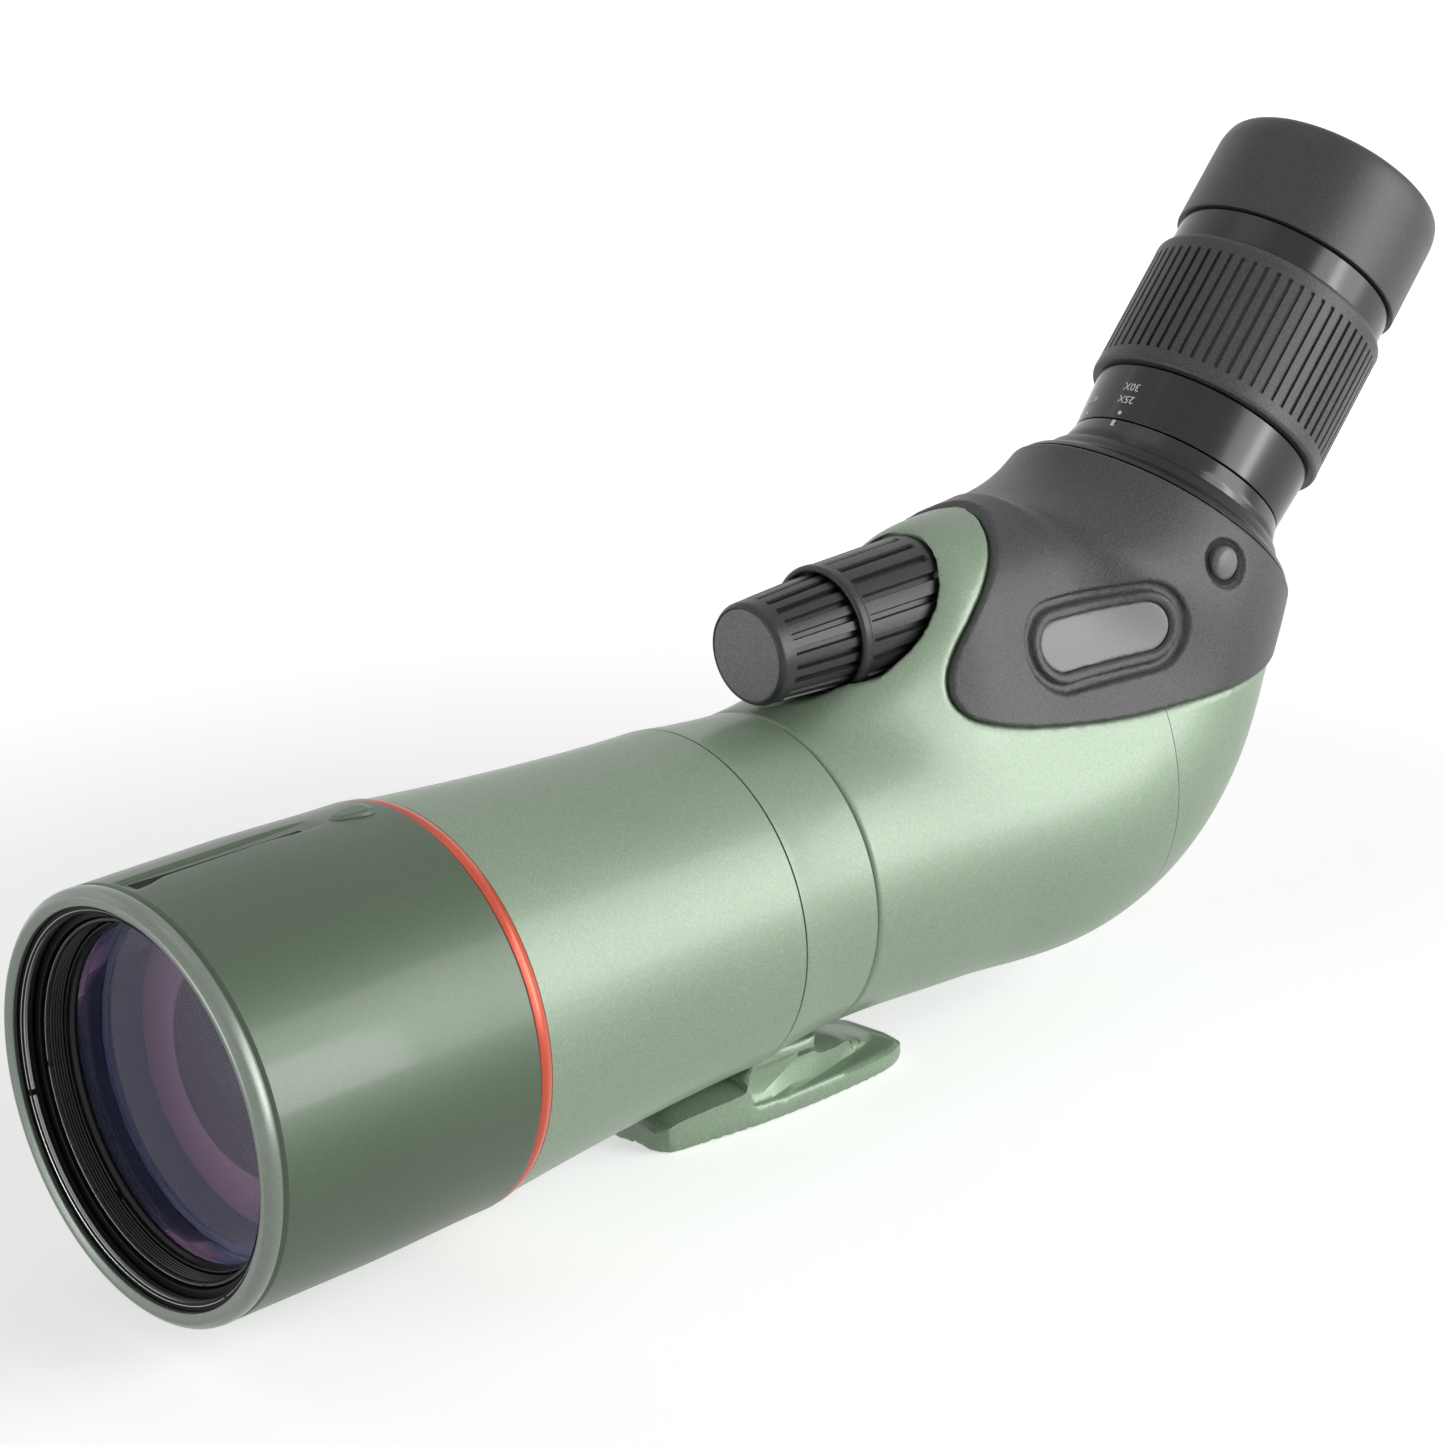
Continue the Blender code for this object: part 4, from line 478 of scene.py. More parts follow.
def finish(name, kind, values, bump, metallic=0.0, coat=0.0, specular=0.5, depth=0.00005):
    """A finish from one shared effect. The values follow the order of the effect's inputs."""
    made, tree, shader = material(name)
    look = tree.nodes.new("ShaderNodeGroup")
    look.node_tree = EFFECTS[kind]
    for socket, value in zip(look.inputs, values):
        socket.default_value = (*value, 1.0) if isinstance(value, tuple) else value
    relief = node(tree, "Bump", {"Height": look.outputs["Height"], "Strength": bump,
                                 "Distance": depth})
    tree.links.new(look.outputs["Color"], shader.inputs["Base Color"])
    tree.links.new(look.outputs["Roughness"], shader.inputs["Roughness"])
    tree.links.new(relief.outputs[0], shader.inputs["Normal"])
    preset(shader, {"Metallic": metallic, "Coat Weight": coat, "Coat Roughness": 0.12,
                    "Specular IOR Level": specular})
    FINISHES[name] = made


# Paints: paint, flake, flake size, flake amount, smooth and rough.
finish("body_green", "flake", ((0.188, 0.268, 0.175), (0.32, 0.40, 0.305), 0.0002, 0.5, 0.43,
                               0.49), 0.08, metallic=0.22, coat=0.18, specular=1.0)
finish("hood_green", "flake", ((0.041, 0.076, 0.036), (0.072, 0.116, 0.064), 0.0002, 0.45, 0.44,
                               0.50), 0.08, metallic=0.35, coat=0.2, specular=1.0)
# Painted shade: a near-black green for the strip in the sight channel, standing in for the shadow
# of its near wall.
finish("groove_shade_green", "flake", ((0.012, 0.018, 0.011), (0.024, 0.032, 0.022), 0.0002, 0.4, 0.6,
                                 0.7), 0.05, specular=0.1)
# Partly painted reflection: the lip's paint is lighter than the hood's, standing in for the floor's
# reflection in it.
finish("lip_reflection_green", "flake", ((0.17, 0.205, 0.17), (0.24, 0.28, 0.24), 0.0002, 0.45, 0.30,
                              0.36), 0.08, metallic=0.4, coat=0.2, specular=0.8)
finish("accent_red", "flake", ((0.60, 0.075, 0.03), (0.75, 0.16, 0.07), 0.0003, 0.2, 0.26,
                               0.34), 0.05, metallic=0.3, coat=0.2)

# Rubber and plastics: dark, light, grain size, smooth and rough.
finish("rubber", "grain", ((0.028, 0.028, 0.0285), (0.095, 0.095, 0.096), 0.0003, 0.36, 0.46),
       0.5, specular=0.3, depth=0.00006)
finish("cup_rubber", "grain", ((0.018, 0.018, 0.0185), (0.05, 0.05, 0.0505), 0.00035, 0.36, 0.46),
       0.4, specular=0.4)
finish("knob_black", "grain", ((0.008, 0.008, 0.0085), (0.036, 0.036, 0.0365), 0.00028, 0.32,
                               0.42), 0.35, specular=0.4, depth=0.00006)
finish("button_grey", "grain", ((0.11, 0.11, 0.111), (0.2, 0.2, 0.202), 0.0003, 0.36, 0.46),
       0.3, specular=0.4)
# Partly painted reflection: the knob's end disc is much lighter than the knob, standing in for
# light reflected from the floor.
finish("knob_disc", "grain", ((0.10, 0.10, 0.101), (0.24, 0.24, 0.242), 0.00028, 0.38, 0.5),
       0.5, specular=0.4, depth=0.00006)
finish("gloss_black", "grain", ((0.004, 0.004, 0.0042), (0.009, 0.009, 0.0095), 0.0008, 0.17,
                                0.23), 0.02, coat=0.1, specular=0.4)
finish("satin_black", "grain", ((0.008, 0.008, 0.0085), (0.02, 0.02, 0.021), 0.0004, 0.26, 0.34),
       0.12, specular=0.25)
finish("matt_black", "grain", ((0.002, 0.002, 0.002), (0.006, 0.006, 0.006), 0.0004, 0.4, 0.55),
       0.2, specular=0.12)
# Painted reflection: a slate blue for the lens spacer, standing in for the coated lenses' bluish
# reflections seen down the tube.
finish("spacer_reflection_slate", "grain", ((0.10, 0.11, 0.16), (0.17, 0.18, 0.25), 0.0005, 0.4, 0.5),
       0.1, specular=0.3)

# Turned metals: dark, light, pitch, smooth and rough.
# Painted highlight: a pale grey metal for thin rings that stand in for the lit edges of the black
# rings in the hood's mouth.
finish("edge_highlight_grey", "lathe", ((0.34, 0.34, 0.34), (0.5, 0.5, 0.5), 0.0002, 0.24, 0.34), 0.05, 0.8)
finish("steel", "lathe", ((0.42, 0.43, 0.44), (0.62, 0.63, 0.64), 0.00025, 0.2, 0.34), 0.1, 1.0)
finish("brass", "lathe", ((0.48, 0.34, 0.13), (0.68, 0.52, 0.24), 0.00025, 0.22, 0.36), 0.1, 1.0)
finish("nameplate", "lathe", ((0.16, 0.165, 0.168), (0.20, 0.205, 0.21), 0.0002, 0.46, 0.54),
       0.1, 0.1)

# Nylon and print: dark, light, grain size, smooth and rough.
finish("nylon", "grain", ((0.66, 0.66, 0.62), (0.8, 0.8, 0.76), 0.0006, 0.4, 0.55), 0.1)
finish("white_ink", "grain", ((0.88, 0.88, 0.87), (0.95, 0.95, 0.94), 0.0003, 0.4, 0.5), 0.05)


# Painted shade: a darker centre painted into the rear lens, standing in for the deeper glass seen
# through it.
SHADE_CORE_RADIUS = 0.0215                 # radius of the deep glass seen through the rear lens
SHADE_CORE_BLUR = 0.0002


def glass(name, tint, veil, ior, through=1.0, weight=0.25, shade_core=None):
    """Coated glass: a body tint that drifts over the face, a darker painted shade in its centre, a
    veil.
    """
    made, tree, shader = material(name)
    where = places(tree)
    low = tuple(0.9 * c for c in tint)
    colour = mixed(tree, noise(tree, where, 14.0, 0.0), (*low, 1.0), (*tint, 1.0))
    # Painted shade: inside the radius the lens takes a darker colour, where deeper glass would be
    # seen.
    if shade_core:
        out = node(tree, "VectorMath", {0: where, 1: (0.0, 0.0, -AXIS_HEIGHT)}, operation="ADD")
        out = node(tree, "VectorMath", {0: out.outputs[0], 1: (0.0, 1.0, 1.0)},
                   operation="MULTIPLY")
        out = node(tree, "VectorMath", {0: out.outputs[0]}, operation="LENGTH")
        ring = scaled(tree, out.outputs["Value"], 0.0, 1.0, SHADE_CORE_RADIUS - SHADE_CORE_BLUR,
                      SHADE_CORE_RADIUS + SHADE_CORE_BLUR)
        colour = mixed(tree, ring, (*shade_core, 1.0), colour)
    tree.links.new(colour, shader.inputs["Base Color"])
    preset(shader, {"Roughness": 0.01, "IOR": ior, "Transmission Weight": through,
                    "Sheen Weight": weight, "Sheen Roughness": 0.35, "Sheen Tint": (*veil, 1.0)})
    FINISHES[name] = made


glass("coated_glass", (0.84, 0.84, 0.92), (0.30, 0.35, 0.75), 1.16, 1.0, 0.9)
glass("violet_glass", (0.86, 0.84, 0.93), (0.46, 0.44, 0.66), 1.12, 1.0, 0.5)
# Painted reflection: the rose and amber lenses are partly diffuse, their tint standing in for the
# coatings' reflections; the rose lens's dark centre is painted shade.
glass("rose_reflection_glass", (0.86, 0.50, 0.58), (0.90, 0.56, 0.64), 1.2, 0.68, 0.5, (0.12, 0.07, 0.07))
glass("amber_reflection_glass", (0.42, 0.28, 0.27), (0.6, 0.42, 0.40), 1.2, 0.6, 0.4)
glass("prism_glass", (0.93, 0.96, 0.95), (0.4, 0.4, 0.4), 1.5)


# ------------------------------------------------------------------------ sliding hood
LIP = 0.0036                   # length of the hood's front bead
SIGHT_DEPTH = 0.0009           # the sight channel's floor under the hood's top
SIGHT_REAR = HOOD.low + 0.226 * (HOOD.high - HOOD.low)
SIGHT_FRONT = HOOD.high - LIP - 0.0012


def step(value, low, high):
    """0 below low, 1 above high, and a smooth rise between."""
    t = np.clip((np.asarray(value, float) - low) / (high - low), 0.0, 1.0)
    return t * t * (3 - 2 * t)


def sight_channel(angles, station, radius):
    """The groove along the hood's top: a steep far wall, a sloped near side, flared ends."""
    wall = 0.0013
    if radius[0] < HOOD.radius - wall:
        return radius
    across = -radius * np.sin(angles)
    top = np.cos(angles) > 0
    ends = step(station, SIGHT_REAR - 0.001, SIGHT_REAR + 0.004) * (
        1 - step(station, SIGHT_FRONT - 0.0022, SIGHT_FRONT + 0.0004))
    flare = 0.0012 * (1 - step(station, SIGHT_REAR, SIGHT_REAR + 0.012))
    flare += 0.0030 * step(station, SIGHT_FRONT - 0.009, SIGHT_FRONT - 0.001)
    far_wall = step(across, -0.0042, -0.0036)
    near_side = 1 - step(across, 0.0004, 0.0009 + flare)
    level = (HOOD.radius - SIGHT_DEPTH) / np.maximum(np.cos(angles), 0.2)
    drop = np.maximum(radius - level, 0.0) * far_wall * near_side * ends
    return np.where(top, radius - drop, radius)


def make_hood():
    """The dark hood, with a lip painted lighter in part as a painted reflection, the sight channel
    with a painted shade strip, and the wedge behind it.
    """
    front, rear, radius = HOOD.high, HOOD.low, HOOD.radius
    inner = HOOD.bore + 0.0007
    rear_radius = HOOD.rim(rear)
    skin_radius = radius - 0.0001
    shadow_gap = radius - 0.0007
    neck = front - LIP
    middle = (front + rear) / 2
    body = [(skin_radius, neck - 0.0010)]
    for x in np.concatenate([np.arange(neck - 0.0016, neck - 0.009, -0.0006),
                             np.arange(neck - 0.010, rear + 0.024, -0.0020),
                             np.arange(SIGHT_REAR + 0.006, SIGHT_REAR - 0.003, -0.0008),
                             np.arange(SIGHT_REAR - 0.005, rear + 0.002, -0.0025)]):
        taper = (skin_radius - rear_radius) * step(-x, -middle, -rear)
        body.append((skin_radius - taper, x))
    fine = np.arcsin(np.arange(-0.0062, 0.0060, 0.0003) / radius)
    coarse = np.linspace(fine[-1], fine[0] + 2 * math.pi, 150)[1:-1]
    angles = np.concatenate([fine, coarse])
    hood = turned("sunshade_fine", [
        (shadow_gap, neck), (shadow_gap, neck - 0.0003, 0.0001)] + body + [
        (rear_radius, rear, 0.0003), (inner, rear), (inner, neck)],
        OPTICAL, angles=angles, relief=sight_channel)
    dress(hood, "hood_green", "sunshade_body", "hood_green", "sunshade")
    # The lip is a bead with its own lighter paint, in part a painted reflection of the floor.
    dress(turned("sunshade_lip_fine", [
        (inner - 0.0007, front - 0.0006, 0.0003), (inner + 0.0006, front - 0.0001, 0.0004),
        (radius - 0.0014, front, 0.0006), (radius - 0.0002, front - 0.0011, 0.0009),
        (radius, front - 0.0024, 0.0007), (skin_radius, neck + 0.0003, 0.0002),
        (shadow_gap, neck + 0.0001, 0.0001), (inner, neck + 0.0001),
        (inner, front - 0.0015), (inner - 0.0007, front - 0.0015)], OPTICAL, 192),
        "lip_reflection_green", "sunshade_body", "hood_green")

    # Painted shade: a dark strip laid on the channel's floor along its near wall, where that wall's
    # shadow falls.
    floor = AXIS_HEIGHT + radius - SIGHT_DEPTH + 0.0001
    tail, nose = SIGHT_REAR + 0.0045, neck - 0.0034
    strip = [(tail, -0.0007), (tail, 0.0004), (nose - 0.0055, 0.0004), (nose - 0.0018, 0.0016),
             (nose, 0.0020), (nose, -0.0022), (nose - 0.009, -0.0015)]
    dress(bar("sight_floor_shade", strip, floor - 0.0003, floor, "XY"), "groove_shade_green",
          "sunshade_body", "hood_green")

    top = AXIS_HEIGHT + rear_radius
    back = SIGHT_REAR - 0.0112
    low, high = top - 0.0012, top + 0.0009
    hull = bmesh.new()
    for x, half, z in ((SIGHT_REAR + 0.0004, 0.0003, low), (back, 0.0044, low),
                       (back + 0.0002, 0.0034, high - 0.0003), (back + 0.0012, 0.0026, high),
                       (SIGHT_REAR - 0.0016, 0.0002, high - 0.0002)):
        for y in (-half, half):
            hull.verts.new((x, y, z))
    bmesh.ops.convex_hull(hull, input=hull.verts)
    wedge = to_object("sight_wedge", hull)
    dress(soften(wedge, 0.0002, rounds=2), "hood_green", "sunshade_body", "hood_green")


def notch(radius, station, degrees):
    """A small cutter through a ring's edge."""
    turn = OPTICAL @ Matrix.Rotation(math.radians(degrees), 4, "Z")
    reach, half = 0.0014, 0.0006
    outline = rectangle(radius - reach, radius + reach, half)
    return bar("notch", outline, station - 0.002, station + 0.001, "XY", turn)


def make_hood_liner():
    """The threaded black ring in the hood's mouth, with a notched grey edge ring that is a painted
    highlight.
    """
    liner = Band("sunshade_liner", OPTICAL)
    wall = 0.0012
    threads, pitch, thread_depth = 5, 0.00045, 0.0002
    stop = BARREL.high + SEAM
    front = liner.high
    profile = [(liner.radius, front, 0.0002), (liner.radius, liner.low, 0.0002),
               (liner.radius - wall, liner.low, 0.0002), (liner.radius - wall, stop),
               (liner.bore, stop, 0.0001)]
    for k in range(threads):
        x = stop + 0.0005 + pitch * k
        profile += [(liner.bore, x), (liner.bore + thread_depth, x + 0.0002)]
    profile += [(liner.bore, front, 0.0002), (liner.bore + 0.0008, front)]
    dress(turned("sunshade_liner_fine", profile, OPTICAL), "matt_black", "sunshade_body",
          "matt_black", "sunshade_liner")
    # Painted highlight: a thin grey ring at the mouth's edge stands in for its lit edge.
    edge = liner.bore
    edge_highlight = turned("liner_edge_highlight", [
        (edge + 0.0007, front + 0.0001, 0.0001), (edge + 0.0001, front - 0.0003, 0.0002),
        (edge - 0.0001, front - 0.0010, 0.0001), (edge + 0.0007, front - 0.0010)], OPTICAL)
    cut(edge_highlight, *[notch(edge, front, turn) for turn in (100, 215)])
    dress(edge_highlight, "edge_highlight_grey", "sunshade_body", "matt_black")


# ------------------------------------------------------------------ barrel and objective
def make_barrel():
    """The green waist and its sleeve, the black tube under the hood, and the red ring."""
    ring = Band("accent_ring", OPTICAL)
    seam = COLLAR_EDGE + SEAM
    tube_radius = BARREL.rim(BARREL.high)
    bore = BARREL.bore_at(BARREL.high)
    sleeve = BARREL.rim(BARREL.low)
    inner = sleeve - 0.0020
    joint = ring.low + 0.0012
    skin_edge = ring.low - 0.00005
    cone = seam + 0.0042           # where the lining's cone starts

    def waist(share):
        return COLLAR_RADIUS + (BARREL.radius - COLLAR_RADIUS) * share ** 1.6

    def wall(share):
        return (COLLAR_RADIUS - 0.0028) * (1 - share) + bore * share

    outside = [(waist(s), seam + s * (skin_edge - seam)) for s in np.linspace(1.0, 0.0, 22)]
    profile = [(tube_radius - 0.0008, joint), (tube_radius, outside[0][1])]
    profile += [(*outside[0], 0.0001)] + outside[1:-1] + [(*outside[-1], 0.0002)]
    profile += [(sleeve, seam), (sleeve, BARREL.low, 0.0002), (inner, BARREL.low),
                (inner, seam + 0.0017)]
    profile += [(wall(s) + 0.0006, cone + s * (ring.low - cone))
                for s in np.linspace(0.0, 1.0, 6)] + [(bore + 0.0006, joint)]
    dress(turned("barrel_fine", profile, OPTICAL), "body_green", "scope", "body_green", "barrel")

    lining = [(tube_radius, BARREL.high, 0.0003), (tube_radius, joint + 0.0001),
              (bore + 0.0005, joint + 0.0001), (bore + 0.0005, ring.low)]
    lining += [(wall(s) + 0.0005, cone + s * (ring.low - cone)) for s in np.linspace(0.9, 0.05, 6)]
    for share in np.linspace(0.05, 1.0, 28, endpoint=False):
        x = cone + share * (ring.low - cone)
        lining += [(wall(share), x), (wall(share) - 0.0003, x + 0.0005)]
    lining += [(bore, ring.low), (bore, BARREL.high, 0.0003)]
    dress(turned("barrel_tube_fine", lining, OPTICAL), "matt_black", "scope", "body_green")

    belly = 0.00025
    dress(turned("accent_ring_fine", [
        (ring.rim(ring.high) - belly, ring.high, 0.0002),
        (ring.radius - 0.0001, (ring.low + ring.high) / 2, 0.0012),
        (ring.rim(ring.low) - 0.00005, ring.low, 0.0001), (ring.bore, ring.low),
        (ring.bore, ring.high)], OPTICAL), "accent_red", "scope", "accent_red", "accent_ring")


def make_objective():
    """The threaded cell round the front lens, a grey edge ring on it as a painted highlight, and
    the slotted ring in it.
    """
    cell = Band("objective_cell", OPTICAL)
    ring = Band("objective_retaining_ring", OPTICAL)
    radius = cell.radius
    seat = ring.radius + SEAM
    front = cell.high
    lip = cell.bore
    profile = [(radius, front, 0.0003), (radius, cell.low), (lip, cell.low),
               (lip, cell.low + 0.0020), (seat, cell.low + 0.0020)]
    threads = 5
    start, end = ring.high + 0.0001, front - 0.0004
    pitch = (end - start) / threads
    for k in range(threads):
        x = start + k * pitch
        profile += [(seat + 0.00006, x), (seat + 0.0003, x + 0.45 * pitch, 0.0001)]
    profile += [(seat + 0.0004, front, 0.0002)]
    dress(turned("objective_cell_fine", profile, OPTICAL), "satin_black", "scope", "matt_black",
          "objective_cell")
    # Painted highlight: a thin grey ring at the cell's front stands in for its lit edge.
    edge_highlight = turned("cell_edge_highlight", [
        (radius - 0.0003, front + 0.0001, 0.0001), (seat + 0.0007, front - 0.0001, 0.0001),
        (seat + 0.0003, front - 0.0004, 0.0001), (radius - 0.0003, front - 0.0004)], OPTICAL)
    cut(edge_highlight, *[notch(seat + 0.0006, front, turn) for turn in (92, 196)])
    dress(edge_highlight, "edge_highlight_grey", "scope", "matt_black")

    bore = ring.bore
    holder = turned("retaining_ring_fine", [
        (ring.radius, ring.high, 0.0002), (ring.radius, ring.low), (bore, ring.low),
        (bore, ring.low + 0.0006, 0.0002), (bore + 0.0005, ring.high - 0.0009, 0.0002),
        (bore + 0.0005, ring.high, 0.0002)], OPTICAL)
    outline = rectangle(bore - 0.002, seat + 0.002, 0.001)
    for degrees in (20, 140, 260):
        turn = OPTICAL @ Matrix.Rotation(math.radians(degrees), 4, "Z")
        cut(holder, bar("slot", outline, ring.high - 0.0009, ring.high + 0.001, "XY", turn))
    dress(holder, "satin_black", "scope", "matt_black", "objective_retaining_ring")


def make_lens(name, axis, body, finish_name):
    """A round lens with ground edges, from its faceted solid's own sizes."""
    solid = Band(name, axis)
    close = 10 * WELD
    rim = solid.stations[solid.radii > solid.radius - close]
    middle = solid.stations[solid.radii < close]

    def face(edge, crown, shares):
        return [(solid.radius * s, edge + (crown - edge) * (1 - s * s)) for s in shares]

    shares = np.linspace(0.0, 1.0, 12)
    profile = face(rim.max(), middle.max(), shares) + face(rim.min(), middle.min(), shares[::-1])
    dress(turned(name + "_fine", profile, axis, 96, False), finish_name, body, "coated_glass", name)


# ------------------------------------------------------------------------ housing form
# Each row: place along the stretch, belly's drop, belly's swell, hump's rise, hump's
# radius and fill. The places are metres from the collar, degrees of bend and shares.
HUMP_HEIGHT = KNOB_RISE - 0.0053
NOSE = [(SEAM, 0.0, 0.0, 0.0, HOUSING_RADIUS, 1.0), (0.0137, 0.0, 0.0, 0.34, 0.0220, 0.97),
        (0.0287, -0.0013, 0.0, 0.63, 0.0200, 0.97), (0.0417, -0.0017, 0.0001, 0.93, 0.0210, 0.98),
        (0.0487, -0.0019, 0.0006, 1.0, 0.0215, 1.0), (0.0687, -0.0023, 0.0026, 1.0, 0.0215, 1.0)]
BEND = [(0.0, -0.0023, 0.0026, 1.0, 0.0215, 1.0), (12.0, -0.0034, 0.0034, 0.912, 0.0233, 1.0),
        (24.0, -0.0046, 0.0028, 0.649, 0.0272, 1.0), (36.0, -0.0042, 0.0022, 0.402, 0.0316, 1.0),
        (45.0, -0.0021, 0.0019, 0.221, 0.0331, 1.0)]
NECK = [(0.0, -0.0021, 0.0019, 0.221, 0.0331, 1.0),
        (0.55, -0.0007, 0.0010, 0.035, PORT_RADIUS, 1.0),
        (1.0, 0.0, PORT_RADIUS - HOUSING_RADIUS, 0.0, PORT_RADIUS, 1.0)]
PIVOT_AHEAD = 0.0060           # centre of the bend, ahead of the fold and above it
PIVOT_RISE = 0.0696
TILT = math.radians(45.0)      # the eyepiece's rise from the optical axis
WALL = 0.0031                  # thickness of the casting
ARMOUR_SEAT = 0.0010           # depth of the armour's seat in the casting
ARMOUR_PROUD = 0.0008          # height of the armour over the casting
FORM_CALM = 0.60               # how far the rows run into each other lengthwise
WIDE = 0.060                   # past either side of every piece
PAST = 0.003                   # how far a cutter reaches past an open end


def egg(low, low_radius, high, high_radius, fill, sides):
    """Points (across, up) of the outline swept by a circle from low to high."""
    centre = low + 0.26 * max(high - low, 0.0)
    angles = even(sides)
    across, up = np.cos(angles), np.sin(angles)
    reach = np.zeros(sides)
    for t in np.linspace(0.0, 1.0, 61):
        offset = centre - (low + (high - low) * t)
        radius = (low_radius + (high_radius - low_radius) * t) * (1 - (1 - fill) * 4 * t * (1 - t))
        root = (up * offset) ** 2 - (offset ** 2 - radius ** 2)
        hit = np.where(root >= 0, np.sqrt(np.maximum(root, 0.0)) - up * offset, 0.0)
        reach = np.maximum(reach, hit)
    return np.stack([across * reach, centre + up * reach], axis=1)


def spine(row, stretch):
    """A section's centre and its up direction in the XZ plane."""
    eye = np.array([-math.cos(TILT), math.sin(TILT)])
    across = np.array([math.sin(TILT), math.cos(TILT)])
    fold = np.array([FOLD.x, AXIS_HEIGHT])
    pivot = fold + np.array([PIVOT_AHEAD, PIVOT_RISE])
    if stretch == "nose":
        reach = (X_COLLAR - pivot[0]) / NOSE[-1][0]
        return np.array([X_COLLAR - row[0] * reach, AXIS_HEIGHT]), np.array([0.0, 1.0])
    foot_of_pivot = float((pivot - fold) @ eye)
    if stretch == "neck":
        station = foot_of_pivot + (S_PORT - foot_of_pivot) * row[0]
        return fold + station * eye, across
    share = row[0] / BEND[-1][0]
    angle = share * (math.pi / 2 - TILT)
    up = np.array([math.sin(angle), math.cos(angle)])
    near = float((pivot - fold) @ across)
    reach = PIVOT_RISE + (near - PIVOT_RISE) * share ** 1.3
    return pivot - reach * up, up


def shell(name, grow, past=0.0, sides=144, steps=9):
    """The housing's form, offset outward by grow, its ends moved out by past."""
    rings = []
    for stretch, rows in (("nose", NOSE), ("bend", BEND), ("neck", NECK)):
        line = smooth_line(rows, steps)
        for row in line if stretch == "nose" else line[1:]:
            centre, up = spine(row, stretch)
            outline = egg(row[1], HOUSING_RADIUS + row[2] + grow, row[3] * HUMP_HEIGHT,
                          row[4] + grow, row[5], sides)
            rings.append([(centre[0] + up[0] * v, y, centre[1] + up[1] * v)
                          for y, v in outline])
    rings = np.array(rings)
    for _ in range(round(FORM_CALM * steps ** 2)):
        rings[1:-1] = 0.5 * rings[1:-1] + 0.25 * (rings[:-2] + rings[2:])
    rings[0] += (past, 0.0, 0.0)
    rings[-1] += (-past * math.cos(TILT), 0.0, past * math.sin(TILT))
    return skin(name, rings, tube=False, caps=True)


def armour_outline(grow):
    """The armour's side outline in XZ: a lobe in front, a level lower edge, open behind."""
    lobe = [(-0.0080, 0.0775), (0.0040, 0.0675), (0.0126, 0.0619), (0.0190, 0.0562),
            (0.0298, 0.0467), (0.0365, 0.0395), (0.0392, 0.0340), (0.0386, 0.0296),
            (0.0342, 0.0260), (0.0217, 0.0223), (0.0004, 0.0191), (-0.0207, 0.0186),
            (-0.0430, 0.0186), (-0.0700, 0.0186)]
    line = smooth_line(lobe, 9)
    along = np.gradient(line, axis=0)
    outward = np.stack([-along[:, 1], along[:, 0]], axis=1)
    line = line + grow * outward / np.linalg.norm(outward, axis=1)[:, None]
    behind = 0.0900
    points = [tuple(p) for p in line] + [(-behind, line[-1][1]), (-behind, behind),
                                         (line[0][0], behind)]
    return [(FOLD.x + x, AXIS_HEIGHT + z) for x, z in points]


BUTTON_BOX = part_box("release_button")
BUTTON_RADIUS = (BUTTON_BOX[1].x - BUTTON_BOX[0].x) / 2
BUTTON_X, BUTTON_Z = side_middle("release_button")
BUTTON_FACE = BUTTON_BOX[1].y - 0.0015
FINE_TAPER = 0.0013            # the fine knob's front is this much slimmer than its rear


def button_peg(name, radius, depth, length):
    """A round bar on the button's axis, outwards from a depth under its face."""
    return peg(name, radius, (BUTTON_X, BUTTON_FACE - depth, BUTTON_Z), (0, 1, 0), length)


def pocket(name, grow=0.0):
    """The hollow that the focus knobs turn in."""
    gap = 0.0007 + grow
    front, floor = FINE.high + 0.004, COARSE.low - 2 * SEAM
    return turned(name, [
        (0.0, front), (FINE.radius - FINE_TAPER + gap, front),
        (FINE.radius + gap, COARSE.high + 0.0015), (COARSE.radius + gap, COARSE.high - 0.0020),
        (COARSE.radius + gap, floor), (0.0, floor)], KNOBS, 96, False)


